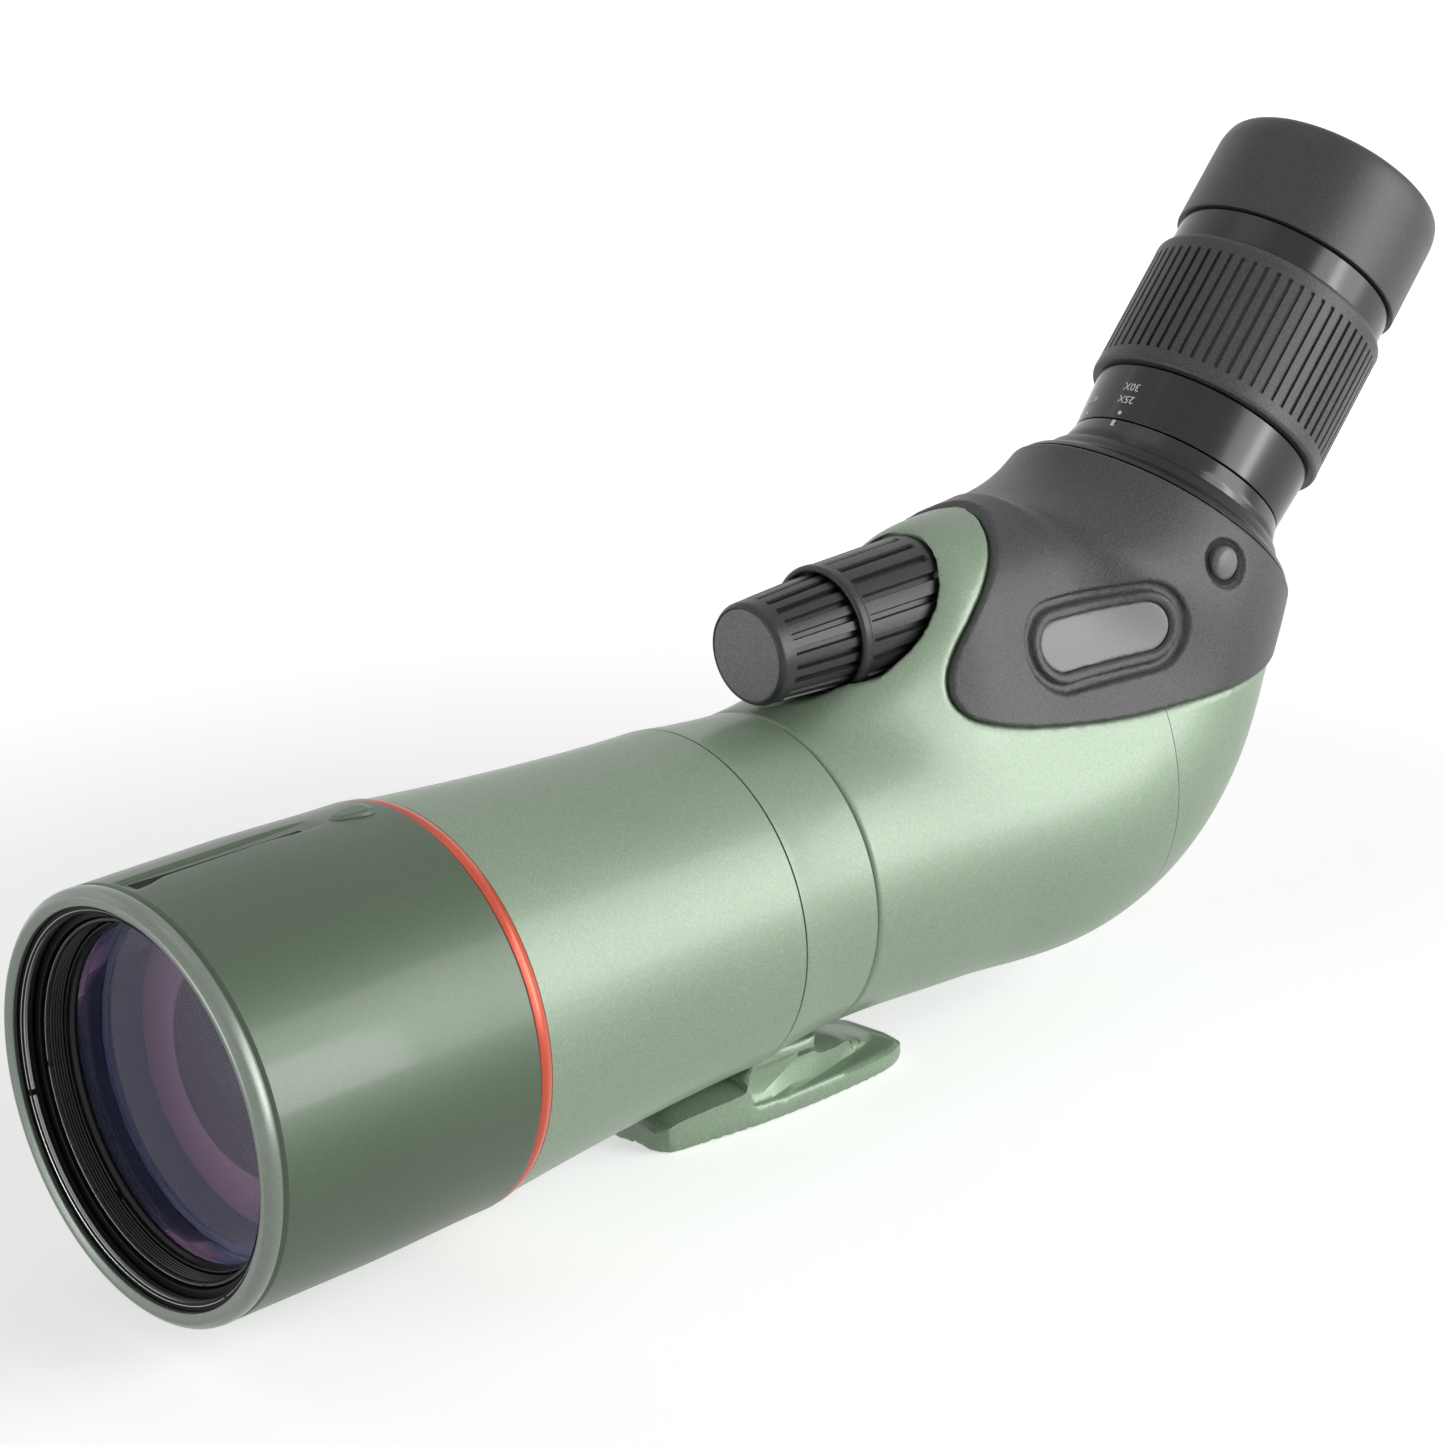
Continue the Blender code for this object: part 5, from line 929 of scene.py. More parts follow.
def make_housing():
    """The cast housing and its rear cover, seated for the armour, knobs and eyepiece."""
    seat = bar("seat", armour_outline(SEAM), -WIDE, WIDE, "XZ")
    keep(seat, shell("seat_reach", PAST, 2 * PAST, 96, 5))
    cut(seat, shell("seat_floor", -ARMOUR_SEAT, PAST, 96, 5))
    cavity = shell("cavity", -WALL, PAST, 48, 2)
    above = rectangle(-WIDE, WIDE, WIDE)
    cut(cavity, bar("above_port", above, S_PORT - 0.0054, S_PORT + WIDE, "XY", EYEPIECE),
        pocket("pocket_guard", 0.0028))
    sleeve = BARREL.rim(BARREL.low)
    housing = shell("prism_housing_fine", 0.0)
    cut(housing, cavity, seat, pocket("knob_pocket"),
        peg("sleeve_bore", sleeve + SEAM, (X_COLLAR + PAST, 0, AXIS_HEIGHT), (-1, 0, 0),
            PAST + 0.016, 96),
        peg("port_bore", PORT_BORE + SEAM, EYEPIECE @ Vector((0, 0, S_PORT - 0.02)),
            EYEPIECE.to_3x3() @ Vector((0, 0, 1)), 0.03, 96),
        button_peg("button_well", BUTTON_RADIUS + SEAM, 0.0070, 0.020))
    rear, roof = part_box("rear_cover")[1].x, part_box("rear_cover")[1].z
    behind, below = rear - 0.100, -0.010
    parting = 0.00015

    def rear_block(name, grow):
        outline = [(behind, below), (rear + grow, below), (rear + grow, roof + grow),
                   (behind, roof + grow)]
        return bar(name, outline, -WIDE, WIDE, "XZ")

    soften(housing, 0.0012, rounds=9)
    cover = copy(housing, "rear_cover_fine")
    keep(cover, rear_block("cover_side", 0.0))
    cut(housing, rear_block("body_side", parting))
    dress(housing, "body_green", "scope", "body_green", "prism_housing", sharp=40)
    dress(cover, "body_green", "scope", "body_green", "rear_cover", sharp=40)


BADGE_LENGTH = 0.0313
BADGE_HEIGHT = 0.0105
BADGE_FRAME = 0.0022           # width of the raised frame round the bare nameplate
BADGE_MARGIN = 0.0020          # width of the moat round that frame
BADGE_CENTRE = side_middle("badge_plate")


def badge_block(name, margin, past=0.0):
    """A slot shape larger than the nameplate by the margin, through the wall on the +Y side."""
    outline = stadium(BADGE_CENTRE, BADGE_LENGTH + margin, BADGE_HEIGHT + margin)
    return bar(name, outline, -past, WIDE + past, "XZ")


def under_armour(name, depth):
    """The armour's face again, at a depth under it."""
    return shell(name, ARMOUR_PROUD - depth, PAST, 96, 7)


def make_armour():
    """The rubber skin with the nameplate's raised frame, and the bare plate in it."""
    fit = 0.0001
    armour = bar("armour_fine", armour_outline(0.0), -WIDE, WIDE, "XZ")
    keep(armour, shell("armour_face", ARMOUR_PROUD))
    cut(armour, shell("armour_floor", SEAM - ARMOUR_SEAT, PAST, 96, 5))
    moat = badge_block("moat", 2 * BADGE_FRAME + 2 * BADGE_MARGIN)
    cut(moat, badge_block("rim", 2 * BADGE_FRAME, 0.001), under_armour("moat_floor", 0.0013))
    recess = button_peg("recess", 0.0051, 0.006, 0.015)
    cut(recess, under_armour("recess_floor", 0.0011))
    cut(armour, moat, badge_block("window", fit), recess,
        button_peg("hole", BUTTON_RADIUS + fit, 0.008, 0.020), pocket("armour_pocket"))
    soften(armour, 0.0005, rounds=5)
    dress(armour, "rubber", "scope", "rubber", "armour", sharp=40)

    # Painted shade: a thin matt black ring on the recess floor round the button, darker than the
    # rubber, for the shade in the recess.
    seat = button_peg("button_seat_shade", 0.0049, 0.006, 0.015)
    keep(seat, under_armour("seat_face", 0.0010))
    cut(seat, under_armour("seat_under", 0.00115),
        button_peg("seat_hole", BUTTON_RADIUS + fit, 0.008, 0.020))
    dress(seat, "matt_black", "scope", "rubber")

    plate = badge_block("badge_plate_fine", 0.0)
    keep(plate, shell("plate_face", ARMOUR_PROUD - 0.0005))
    cut(plate, shell("plate_floor", SEAM - ARMOUR_SEAT, PAST, 96, 5))
    soften(plate, 0.0003, rounds=3)
    dress(plate, "nameplate", "scope", "nameplate", "badge_plate", sharp=40)


def make_button():
    """The domed eyepiece release."""
    axis = Matrix.Translation((BUTTON_X, 0, BUTTON_Z)) @ Matrix.Rotation(-math.pi / 2, 4, "X")
    radius, top, tip = BUTTON_RADIUS, BUTTON_BOX[1].y, BUTTON_BOX[0].y
    pin = 0.0015
    under = top - 0.0049
    dress(turned("release_button_fine", [
        (0.0, top), (0.5 * radius, top - 0.0001), (0.86 * radius, top - 0.0005, 0.0005),
        (radius, top - 0.0014, 0.0006), (radius, under), (pin, under), (pin, tip), (0.0, tip)],
        axis, 64, False), "button_grey", "release", "knob_black", "release_button")


# ------------------------------------------------------------------- collar and its foot
FOOT_HALF_WIDTH = 0.0145
NOSE_HALF_WIDTH = 0.0095
FOOT_THICKNESS = 0.0050        # of its rear plate
NOSE_HEIGHT = 0.0078
FOOT_SIDE = 0.030              # past either side of the foot
FOOT_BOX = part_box("tripod_collar")
FOOT_FRONT, FOOT_REAR = FOOT_BOX[1].x, FOOT_BOX[0].x


def foot_plan(inset):
    """The foot's plan: a blunt nose, fullest behind the middle, narrowing to the rear."""
    half = [(FOOT_FRONT, 0.0), (FOOT_FRONT, 0.55 * NOSE_HALF_WIDTH),
            (FOOT_FRONT - 0.0012, 0.90 * NOSE_HALF_WIDTH),
            (FOOT_FRONT - 0.0040, NOSE_HALF_WIDTH + 0.0008),
            (0.4 * FOOT_FRONT, 0.92 * FOOT_HALF_WIDTH), (0.2 * FOOT_REAR, FOOT_HALF_WIDTH),
            (0.7 * FOOT_REAR, 0.96 * FOOT_HALF_WIDTH),
            (FOOT_REAR + 0.0035, 0.83 * FOOT_HALF_WIDTH),
            (FOOT_REAR + 0.0008, 0.66 * FOOT_HALF_WIDTH), (FOOT_REAR, 0.42 * FOOT_HALF_WIDTH),
            (FOOT_REAR, 0.0)]
    middle = (FOOT_FRONT + FOOT_REAR) / 2
    along = 1 - 2 * inset / (FOOT_FRONT - FOOT_REAR)
    line = smooth_line(half, 6)
    line = [(middle + (min(x, FOOT_FRONT) - middle) * along, max(y - inset, 0.0))
            for x, y in line]
    left = line[1:-1]
    return [line[0]] + left + [line[-1]] + [(x, -y) for x, y in reversed(left)]


def foot_step(way, top):
    """The cutter that steps one side of the foot down to its plate, behind a round corner."""
    ledge, corner = 0.36 * FOOT_FRONT, 0.0016
    edge, tail = FOOT_HALF_WIDTH - 0.0028, 0.45 * FOOT_HALF_WIDTH
    line = [(ledge, FOOT_SIDE), (ledge, FOOT_HALF_WIDTH - 0.0008)]
    line += [(ledge - corner + corner * math.cos(a), edge + corner - corner * math.sin(a))
             for a in np.linspace(0.2, math.pi / 2, 6)]
    line += [(0.25 * FOOT_REAR, edge), (0.62 * FOOT_REAR, 0.74 * edge), (FOOT_REAR + 0.0030, tail),
             (FOOT_REAR - 0.002, tail), (FOOT_REAR - 0.002, FOOT_SIDE)]
    line = [(x, way * y) for x, y in line]
    return bar("foot_step", line, FOOT_THICKNESS - 0.0002, top + 0.0001, "XY")


def make_foot(bore):
    """The foot and its neck: a side profile crossed with the plan, stepped and scooped."""
    crown = AXIS_HEIGHT - COLLAR_RADIUS
    top = AXIS_HEIGHT - bore - 0.0009
    under = AXIS_HEIGHT - HOUSING_RADIUS - 0.0009
    rows = [[(x, y, z) for x, y in foot_plan(inset)]
            for inset, z in ((0.0009, 0.0), (0.0003, 0.0003), (0.0, 0.0009), (0.0, top + 0.001))]
    foot = skin("foot", rows, tube=False, caps=True)
    nose = smooth_line([
        (FOOT_FRONT + 0.0002, 0.34 * NOSE_HEIGHT), (FOOT_FRONT - 0.0001, 0.58 * NOSE_HEIGHT),
        (FOOT_FRONT - 0.0012, 0.84 * NOSE_HEIGHT), (FOOT_FRONT - 0.0034, 1.04 * NOSE_HEIGHT),
        (FOOT_FRONT - 0.0070, 1.15 * NOSE_HEIGHT),
        (COLLAR_EDGE + 0.42 * (FOOT_FRONT - COLLAR_EDGE), crown - 0.0016),
        (COLLAR_EDGE + 0.0006, crown - 0.0006), (COLLAR_EDGE - 0.0014, crown + 0.0008),
        (COLLAR_EDGE - 0.0038, top)], 6)
    ramp = smooth_line([
        (X_COLLAR + 0.0010, top), (X_COLLAR + 0.0008, under + 0.0004),
        (X_COLLAR - 0.0022, under - 0.0016),
        (0.4 * FOOT_REAR + 0.6 * X_COLLAR, FOOT_THICKNESS + 0.0042),
        (FOOT_REAR + 0.0045, FOOT_THICKNESS + 0.0001),
        (FOOT_REAR + 0.0012, FOOT_THICKNESS - 0.0004),
        (FOOT_REAR - 0.0005, FOOT_THICKNESS - 0.0018)], 6)
    side = [(FOOT_FRONT + 0.001, -0.001), *map(tuple, nose), *map(tuple, ramp),
            (FOOT_REAR - 0.001, -0.001)]
    keep(foot, bar("foot_side", side, -FOOT_SIDE, FOOT_SIDE, "XZ"))
    low = Vector((FOOT_REAR, 0.0, FOOT_THICKNESS + 0.0080))
    run = Vector((X_COLLAR - 0.0020, 0.0, under + 0.0054)) - low
    return cut(foot, foot_step(1, under), foot_step(-1, under),
               peg("foot_scoop", 0.0065, low - 0.3 * run, run, 1.2 * run.length))


def clamp_axis(x):
    """The collar lock's axis: Z runs out from the optical axis, towards -Y."""
    return Matrix.Translation((x, 0, AXIS_HEIGHT)) @ Matrix.Rotation(math.pi / 2, 4, "X")


def make_collar():
    """The collar, with its foot, the boss of its lock and its screw holes."""
    length = COLLAR_EDGE - X_COLLAR
    bore = BARREL.rim(BARREL.low) + SEAM
    band = turned("tripod_collar_fine", [
        (bore, COLLAR_EDGE, 0.0002), (COLLAR_RADIUS, COLLAR_EDGE, 0.0003),
        (HOUSING_RADIUS + 0.00115, X_COLLAR + 0.68 * length),
        (HOUSING_RADIUS + 0.0006, X_COLLAR + 0.42 * length),
        (HOUSING_RADIUS + 0.0002, X_COLLAR + 0.2 * length),
        (HOUSING_RADIUS, X_COLLAR, 0.0003), (bore, X_COLLAR, 0.0002)], OPTICAL)
    middle = (X_COLLAR + COLLAR_EDGE) / 2
    boss_reach, boss_radius = -FOOT_BOX[0].y, 0.0068
    boss = turned("boss", [
        (0.0, boss_reach), (boss_radius, boss_reach, 0.0005), (boss_radius, COLLAR_RADIUS - 0.0005),
        (0.0080, bore + 0.0006), (0.0, bore + 0.0006)], clamp_axis(middle), 64, False)
    join(band, make_foot(bore), boss)
    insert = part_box("tripod_insert")
    insert_x = side_middle("tripod_insert")[0]
    insert_radius = (insert[1].x - insert[0].x) / 2
    pin_radius, pin_gap, stem_radius = 0.0023, 0.0150, 0.0028
    past = 0.001
    cut(band,
        peg("insert_hole", insert_radius + SEAM, (insert_x, 0, -past), (0, 0, 1),
            insert[1].z + SEAM + past),
        peg("pin_hole", pin_radius, (insert_x + pin_gap, 0, -past), (0, 0, 1), 0.0055),
        peg("stem_hole", stem_radius, (middle, -boss_reach - past, AXIS_HEIGHT), (0, 1, 0), 0.014))
    soften(band, 0.0008, rounds=6)
    dress(band, "body_green", "collar", "body_green", "tripod_collar", sharp=40)


def grooves(count, half, land_steps=3):
    """Angles that draw each groove crisply: its walls, its floor, and the lands between."""
    wall = 0.18
    pitch = 2 * math.pi / count
    cell = [-half * (1 + wall), -half, -half * (1 - 2 * wall), 0.0, half * (1 - 2 * wall), half,
            half * (1 + wall)]
    rest = np.linspace(cell[-1], pitch + cell[0], land_steps + 2)[1:-1]
    return np.concatenate([np.array(cell + list(rest)) + k * pitch for k in range(count)])


def grooved(count, half, depth, low, high, limit):
    """A relief of lengthwise grooves from low to high, on radii of at least the limit."""
    blend = 0.0005
    pitch = 2 * math.pi / count

    def relief(angles, station, radius):
        if radius[0] < limit:
            return radius
        off = np.abs((angles + pitch / 2) % pitch - pitch / 2)
        hollow = 1 - step(off, 0.64 * half, 1.0 * half)
        ends = step(station, low, low + blend) * (1 - step(station, high - blend, high))
        return radius - depth * hollow * ends
    return relief


def make_clamp():
    """The collar lock's ribbed knob and stem."""
    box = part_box("collar_clamp_knob")
    middle = side_middle("collar_clamp_knob")[0]
    end, tip = -box[0].y, -box[1].y
    radius = (box[1].z - box[0].z) / 2
    face, stem = end - 0.0115, 0.0025
    ribs = 12
    half = 0.0007 / radius
    low, high = face + 0.0036, end + 0.001
    stations = [(radius, s) for s in np.linspace(end - 0.0016, low - 0.0002, 9)]
    knob = turned("clamp_knob_fine", [
        (0.0, end - 0.0004), (0.0040, end - 0.0004, 0.0006), (0.0046, end, 0.0004),
        (radius - 0.0006, end, 0.0008)] + stations + [
        (radius, face + 0.0030, 0.0005), (radius - 0.0018, face, 0.0004), (stem, face),
        (stem, tip), (0.0, tip)], clamp_axis(middle), closed=False, angles=grooves(ribs, half),
        relief=grooved(ribs, half, 0.0006, low, high, radius - 0.0008))
    dress(knob, "knob_black", "clamp_knob", "knob_black", "collar_clamp_knob")


# ------------------------------------------------------------------------- focus knobs
RIB_DEPTH = 0.0011


def taper_wall(knob, slim, *runs):
    """A knob's tapered side: points on it over runs of stations (first, last, count)."""
    stations = np.concatenate([np.linspace(*run) for run in runs])
    shares = (knob.high - stations) / (knob.high - knob.low)
    return [(slim + (knob.radius - slim) * share, s) for share, s in zip(shares, stations)]


def make_fine_knob():
    """The slim front knob, with a bare disc in its end, painted lighter in part as a painted
    reflection.
    """
    front, rear = FINE.high, FINE.low
    wide, slim = FINE.radius, FINE.radius - FINE_TAPER
    ribs = 22
    half = 0.00080 / wide
    low, high = rear - 0.002, front - 0.0038
    wall = taper_wall(FINE, slim, (front - 0.0012, high + 0.0001, 4), (high, high - 0.0008, 5),
                      (high - 0.0020, rear + 0.0010, 8))
    bore = FINE.bore_at(rear)
    dress(turned("fine_knob_fine", [
        (0.0, front - 0.0003), (slim - 0.0011, front - 0.0003), (slim - 0.0010, front, 0.0002),
        (slim - 0.0006, front, 0.0005), (slim, front - 0.0009, 0.0007)] + wall + [
        (wide, rear, 0.0003), (bore, rear), (bore, front - 0.005), (0.0, front - 0.005)],
        KNOBS, closed=False, angles=grooves(ribs, half),
        relief=grooved(ribs, half, RIB_DEPTH, low, high, slim - 0.0002)),
        "knob_black", "fine_knob", "knob_black", "fine_focus_knob")
    dress(turned("fine_knob_disc", [
        (0.0, front - 0.00005), (slim - 0.0011, front - 0.00005, 0.0001),
        (slim - 0.0011, front - 0.0003), (0.0, front - 0.0003)], KNOBS, 96, False),
        "knob_disc", "fine_knob", "knob_black")


def make_coarse_knob():
    """The wide rear knob, which takes the fine one's end in its recess."""
    front, rear = COARSE.high, COARSE.low
    wide, slim = COARSE.radius, COARSE.radius - 0.0006
    ribs = 20
    half = 0.00086 / wide
    low, high = rear + 0.0025, front - 0.0030
    wall = taper_wall(COARSE, slim, (high + 0.0002, high - 0.0008, 6),
                      (high - 0.0022, low + 0.0016, 9), (low + 0.0008, low - 0.0002, 5))
    recess, floor = FINE.radius + SEAM, FINE.low - 2 * SEAM
    hub, hub_end, shaft = 0.0039, rear + 0.0060, 0.0023
    dress(turned("coarse_knob_fine", [
        (slim - 0.0004, front, 0.0005), (slim + 0.0003, front - 0.0006, 0.0005),
        (slim + 0.0003, front - 0.0022, 0.0003), (slim, front - 0.0026, 0.0002)] + wall + [
        (wide, rear, 0.0006), (hub, rear), (hub, hub_end), (shaft, hub_end),
        (shaft, floor), (recess, floor), (recess, front - 0.0003, 0.0003)], KNOBS,
        angles=grooves(ribs, half),
        relief=grooved(ribs, half, RIB_DEPTH, low, high, slim - 0.0002)),
        "knob_black", "coarse_knob", "knob_black", "coarse_focus_knob")


# ---------------------------------------------------------------------------- eyepiece
def make_mount():
    """The ring on the port, with a stepped well inside it."""
    ring = Band("eyepiece_mount", EYEPIECE)
    top, base = ring.high, S_PORT + SEAM
    edge, well = ring.rim(top), ring.bore_at(top)
    floor = base + 0.0026
    dress(turned("eyepiece_mount_fine", [
        (edge, top, 0.0005), (edge + 0.0011, top - 0.0016, 0.0010),
        (edge + 0.0020, top - 0.0034, 0.001), (ring.radius - 0.0012, base + 0.0017, 0.0007),
        (ring.radius, base, 0.0004), (PORT_BORE, base), (PORT_BORE, ring.low),
        (ring.bore, ring.low), (ring.bore, floor), (well, floor), (well, top, 0.0003)],
        EYEPIECE), "satin_black", "scope", "rubber", "eyepiece_mount")


INK = 0.00004                  # half the thickness of a printed mark
INK_LIFT = 0.00003             # how far a mark's middle stands off what it is printed on


def ink(name, flat, surface, angle, station, body):
    """Lays a flat mark on a turned surface of the given radius: its top points at the port."""
    radius = surface + INK_LIFT
    for v in flat.data.vertices:
        turn = angle - v.co.x / radius
        reach = radius + v.co.z
        v.co = EYEPIECE @ Vector((reach * math.cos(turn), reach * math.sin(turn), station - v.co.y))
    flat.name = name
    dress(flat, "white_ink", body, "gloss_black")


def number(text):
    """A number as a thin flat mesh, centred on its own middle."""
    curve = bpy.data.curves.new("number", "FONT")
    curve.body = text
    curve.size = 0.0026
    curve.extrude = INK
    curve.align_x = "CENTER"
    curve.align_y = "CENTER"
    curve.resolution_u = 3
    flat = new_object("number", curve)
    bpy.context.view_layer.update()
    graph = bpy.context.evaluated_depsgraph_get()
    mesh = bpy.data.meshes.new_from_object(flat.evaluated_get(graph))
    discard(flat)
    return new_object("number", mesh)


INDEX_BAND = 0.0042            # length of the index ring behind its cone


def make_index_ring():
    """The ring that the zoom scale turns against."""
    ring = Band("index_ring", EYEPIECE)
    seam, radius = ring.high, ring.radius
    hollow, floor = radius - 0.0042, ring.low + 0.0030
    dress(turned("index_ring_fine", [
        (ring.rim(seam), seam, 0.0002), (radius, ring.low + INDEX_BAND, 0.0006),
        (radius, ring.low), (hollow, ring.low), (hollow, floor), (ring.bore, floor),
        (ring.bore, seam)], EYEPIECE), "gloss_black", "eyepiece", "gloss_black", "index_ring")


def make_index_mark():
    """The mark on the index ring's cone that the zoom scale is read against."""
    ring = Band("index_ring", EYEPIECE)
    seam, slim = ring.high, ring.rim(ring.high)
    station = seam - 0.0016
    share = (seam - station) / (seam - ring.low - INDEX_BAND)
    mark = bar("mark", rectangle(-0.00045, 0.00045, 0.0012), -INK, INK, "XY")
    ink("index_mark", mark, slim + (ring.radius - slim) * share, 0.0, station, "eyepiece")


def make_scale():
    """The zoom ring's glossy sleeve, with its numbers and dots."""
    sleeve = Band("zoom_scale_sleeve", EYEPIECE)
    grip = Band("zoom_grip", EYEPIECE)
    low, shoulder = sleeve.low, grip.low - SEAM
    bore = sleeve.bore
    foot_radius = sleeve.rim(low)
    top_radius = foot_radius + 0.0008
    under = grip.bore - SEAM
    dress(turned("scale_sleeve_fine", [
        (under, sleeve.high), (under, shoulder), (top_radius, shoulder - 0.0002, 0.0002),
        (foot_radius, low, 0.0002), (bore, low), (bore, sleeve.high)],
        EYEPIECE), "gloss_black", "zoom_ring", "gloss_black", "zoom_scale_sleeve")

    def print_on(name, flat, rise, angle):
        surface = foot_radius + (top_radius - foot_radius) * rise / (shoulder - low)
        ink(name, flat, surface, angle, low + rise, "zoom_ring")

    dot_radius, spacing = 0.0005, math.radians(28.0)
    for k, power in enumerate(("25X", "40X", "50X", "60X", "75X")):
        print_on("power_" + power, number(power), 0.0048, -spacing * k)
        dot = turned("dot", [(0.0, INK), (dot_radius, INK), (dot_radius, -INK), (0.0, -INK)],
                     Matrix.Identity(4), 20, False)
        print_on("dot_" + power, dot, 0.0014, -spacing * k)
    print_on("power_30X", number("30X"), 0.0079, 0.0)


def make_grip():
    """The ribbed rubber grip over the zoom ring."""
    band = Band("zoom_grip", EYEPIECE)
    low, high, radius = band.low, band.high, band.radius
    border, ribs, depth = 0.0035, 60, 0.0007
    half = 0.00052 / radius
    start, end = low + border, high - border
    stations = np.concatenate([np.linspace(end + 0.0002, end - 0.0010, 6),
                               np.linspace(end - 0.0030, start + 0.0030, 7),
                               np.linspace(start + 0.0010, start - 0.0002, 6)])
    wall = [(radius - 0.0001, s) for s in stations]
    grip = turned("zoom_grip_fine", [
        (band.bore, high), (radius - 0.0007, high, 0.0004), (radius, high - 0.0010, 0.0007)]
        + wall + [(radius, low + 0.0008, 0.0004), (radius - 0.0004, low, 0.0003),
                  (band.bore, low)], EYEPIECE, angles=grooves(ribs, half, 2),
        relief=grooved(ribs, half, depth, start, end, radius - 0.0002))
    dress(grip, "rubber", "zoom_ring", "rubber", "zoom_grip")


def make_head():
    """The glossy neck, the eye lens ring and the rounded rubber cup."""
    head = Band("eyepiece_head", EYEPIECE)
    cup = Band("eyecup", EYEPIECE)
    neck_top = cup.low - SEAM
    neck = head.rim(head.low + 0.0003)
    guide = head.rim(head.high)
    dress(turned("eyepiece_head_fine", [
        (guide, head.high, 0.0003), (guide, neck_top), (neck, neck_top, 0.0003),
        (neck, head.low, 0.0003), (head.bore, head.low), (head.bore, head.high)],
        EYEPIECE), "gloss_black", "eyepiece", "gloss_black", "eyepiece_head")

    ring = Band("eye_lens_ring", EYEPIECE)
    dress(turned("eye_lens_ring_fine", [
        (ring.radius - 0.0006, ring.high, 0.0004), (ring.radius, ring.high - 0.0006, 0.0004),
        (ring.radius, ring.low), (ring.bore, ring.low), (ring.bore + 0.0006, ring.high, 0.0003)],
        EYEPIECE), "satin_black", "eyepiece", "matt_black", "eye_lens_ring")

    radius, top, low = cup.radius, cup.high, cup.low
    shelf = top - 0.0038
    bore = cup.rim(low, 0.0001) - 0.0018
    dress(turned("eyecup_fine", [
        (radius - 0.0045, top, 0.0014), (radius - 0.0011, top - 0.0007, 0.0022),
        (radius - 0.0001, top - 0.0042, 0.0020), (radius, low + 0.004), (radius, low, 0.0004),
        (bore, low, 0.0002), (bore, shelf), (cup.bore, shelf, 0.0004),
        (cup.bore + 0.0010, top - 0.0008, 0.0008)], EYEPIECE, steps=6),
        "cup_rubber", "cup", "cup_rubber", "eyecup")


# --------------------------------------------------------------------- carried-over nodes
# The spacer takes a painted reflection: slate blue in place of the coatings' reflections.
OWN_FINISH = {"lens_spacer": "spacer_reflection_slate"}


def finish_hidden_nodes():
    """Every solid that stays as it is takes the finish of its own slot."""
    for name, solid in frame["nodes"].items():
        if solid.hide_render:
            continue
        for slot in solid.material_slots:
            found = OWN_FINISH.get(name, slot.material.name.split(".")[0])
            slot.material = FINISHES.get(found, slot.material)
        shade(solid.data, 30.0)


# ------------------------------------------------------------------------------- studio
CENTRE = (cad_box[0] + cad_box[1]) / 2


def seen(tree):
    """1 for what the camera sees, straight, in gloss or through glass, and otherwise 0."""
    path = node(tree, "LightPath").outputs
    total = node(tree, "Math", {0: path["Is Camera Ray"], 1: path["Is Glossy Ray"]},
                 operation="ADD", use_clamp=True)
    total = node(tree, "Math", {0: total.outputs[0], 1: path["Is Transmission Ray"]},
                 operation="ADD", use_clamp=True)
    return total.outputs[0]


def make_floor():
    """A pale floor that reads as white to the camera and still takes the shadow."""
    made, tree, shader = material("pale_floor")
    preset(shader, {"Base Color": (0.86, 0.86, 0.86, 1.0), "Roughness": 0.9})
    away = node(tree, "VectorMath", {0: places(tree)}, operation="LENGTH").outputs["Value"]
    level = scaled(tree, away, 0.54, 0.96, 0.25, 0.62)
    glow = node(tree, "Emission", {"Color": (1, 1, 1, 1), "Strength": level})
    black = node(tree, "Emission", {"Color": (0, 0, 0, 1), "Strength": 0.0})
    extra = node(tree, "MixShader", {0: seen(tree), 1: black.outputs[0], 2: glow.outputs[0]})
    both = node(tree, "AddShader", {0: shader.outputs[0], 1: extra.outputs[0]})
    tree.links.new(both.outputs[0], tree.nodes["Material Output"].inputs["Surface"])
    half = 4.0
    work = bmesh.new()
    work.faces.new([work.verts.new((CENTRE.x + x, y, cad_box[0].z))
                    for x, y in rectangle(-half, half, half)])
    floor = to_object("floor", work)
    floor.data.materials.append(made)


def make_world():
    """White to the camera, in gloss and through glass, and softer as a light."""
    world = bpy.data.worlds.new("studio")
    bpy.context.scene.world = world
    world.use_nodes = True
    tree = world.node_tree
    background = tree.nodes["Background"]
    tree.links.new(scaled(tree, seen(tree), 0.12, 1.0), background.inputs["Strength"])
    background.inputs["Color"].default_value = (1, 1, 1, 1)


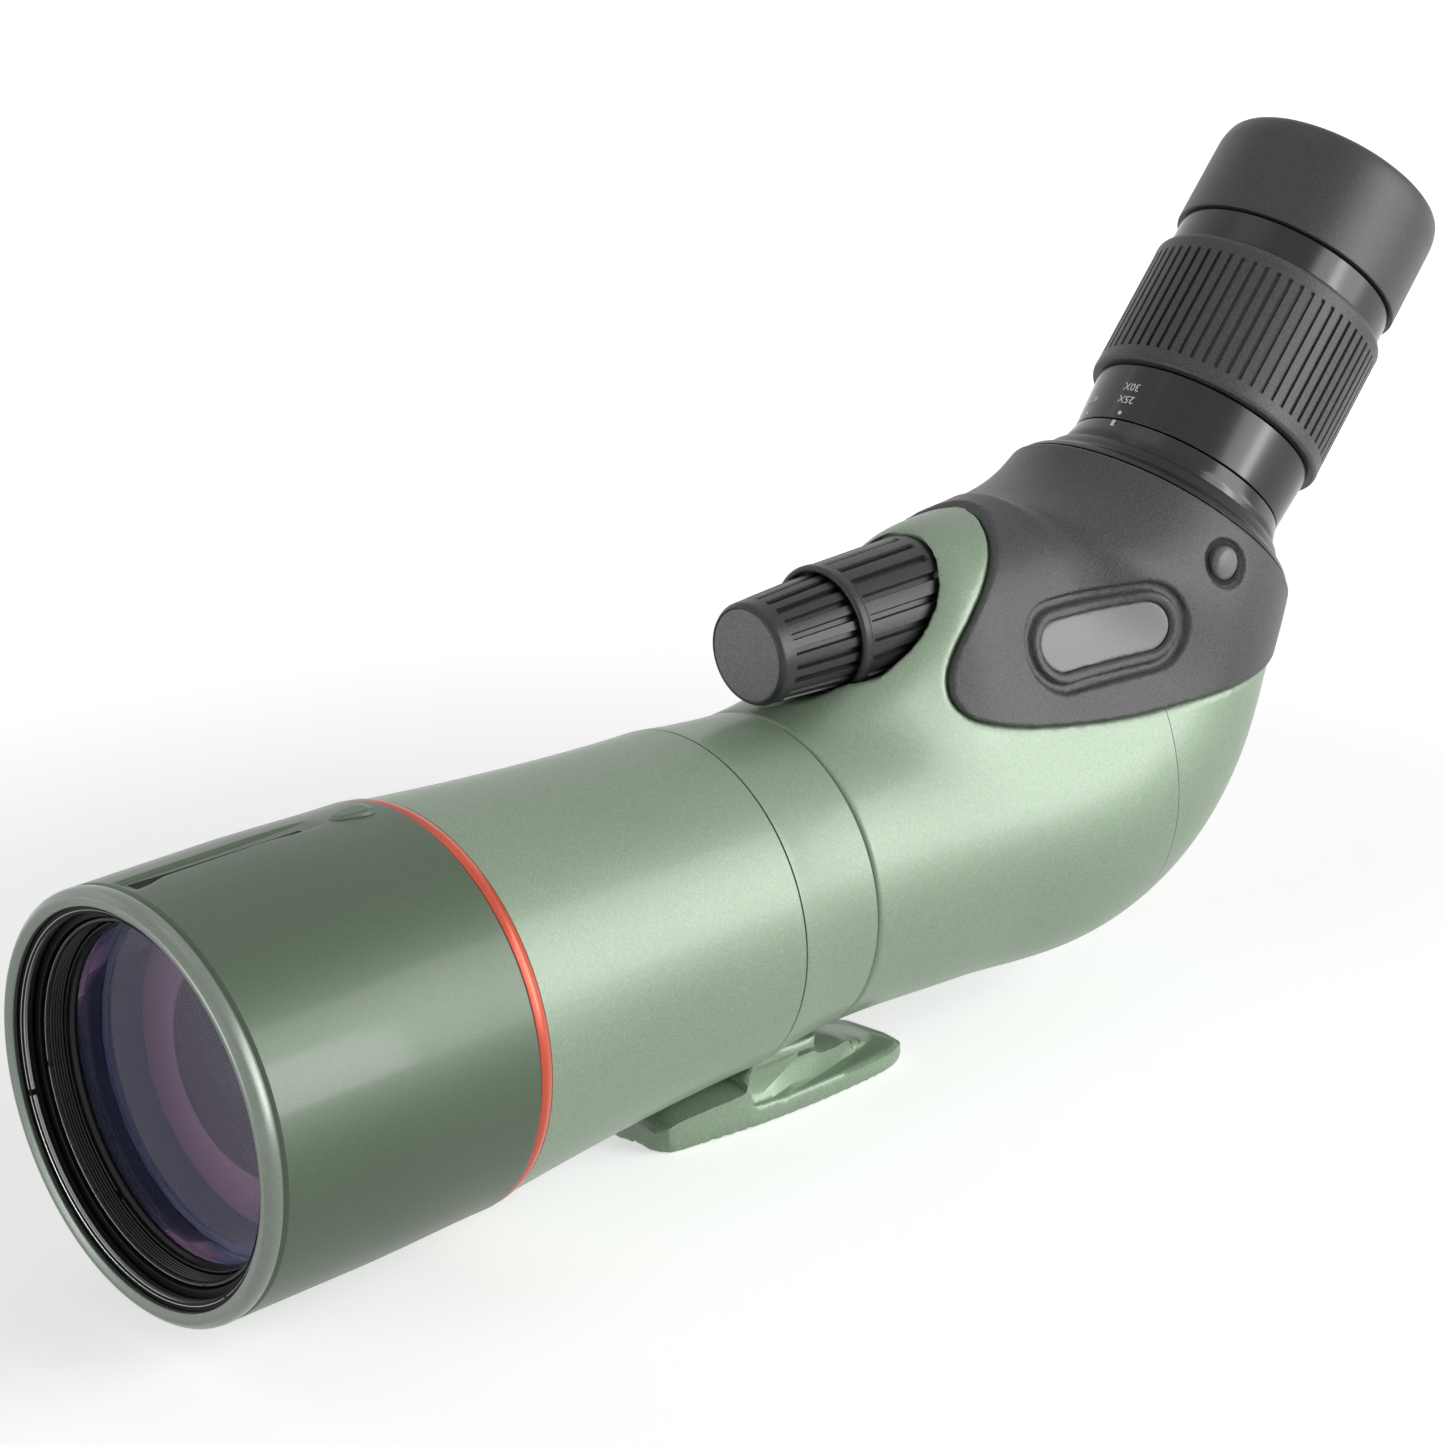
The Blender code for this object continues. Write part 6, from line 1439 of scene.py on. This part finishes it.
def lamp(name, place, size, power):
    """A soft rectangular lamp that looks at the scope."""
    light = bpy.data.lights.new(name, "AREA")
    light.shape = "RECTANGLE"
    light.size, light.size_y = size
    light.energy = power
    made = new_object(name, light)
    made.location = CENTRE + Vector(place)
    made.rotation_euler = (made.location - CENTRE).to_track_quat("Z", "Y").to_euler()


def make_lamps():
    """One tall soft lamp off the observer's left, with faint fills in front and above."""
    lamp("left_wall", (-0.62, 1.08, 0.24), (1.2, 1.15), 19.0)
    lamp("strip", (-0.47, 1.08, 0.06), (0.14, 0.7), 2.6)
    lamp("front_fill", (0.95, -0.15, 0.06), (0.6, 0.4), 3.5)
    lamp("back_fill", (0.45, -0.95, 0.66), (0.6, 0.4), 0.4)
    lamp("overhead", (0.05, -0.1, 0.95), (0.6, 0.6), 0.5)


def make_camera():
    """Three quarters from the front, a little above, with a slight roll."""
    azimuth, elevation, roll = math.radians(49.19), math.radians(17.68), math.radians(-4.41)
    back = Vector((math.cos(elevation) * math.cos(azimuth),
                   math.cos(elevation) * math.sin(azimuth), math.sin(elevation)))
    level = back.to_track_quat("Z", "Y").to_matrix()
    turn = level @ Matrix.Rotation(roll, 3, "Z")
    view = bpy.data.cameras.new("camera")
    view.lens = 102.8
    view.clip_end = 20.0
    made = new_object("camera", view)
    made.matrix_world = Matrix.Translation((0.5162, 0.5972, 0.3327)) @ turn.to_4x4()
    bpy.context.scene.camera = made


make_camera()
make_hood()
make_hood_liner()
make_barrel()
make_objective()
make_housing()
make_armour()
make_button()
make_collar()
make_clamp()
make_fine_knob()
make_coarse_knob()
make_mount()
make_index_ring()
make_scale()
make_index_mark()
make_grip()
make_head()
for lens in (("objective_lens_front", OPTICAL, "scope", "coated_glass"),
             ("objective_lens_middle", OPTICAL, "scope", "violet_glass"),
             ("objective_lens_rear", OPTICAL, "scope", "rose_reflection_glass"),
             ("focus_lens", OPTICAL, "fine_cell", "amber_reflection_glass"),
             ("eye_lens", EYEPIECE, "eyepiece", "coated_glass"),
             ("field_lens", EYEPIECE, "eyepiece", "coated_glass")):
    make_lens(*lens)
finish_hidden_nodes()
make_floor()
make_world()
make_lamps()
bpy.context.scene.view_settings.view_transform = "Standard"
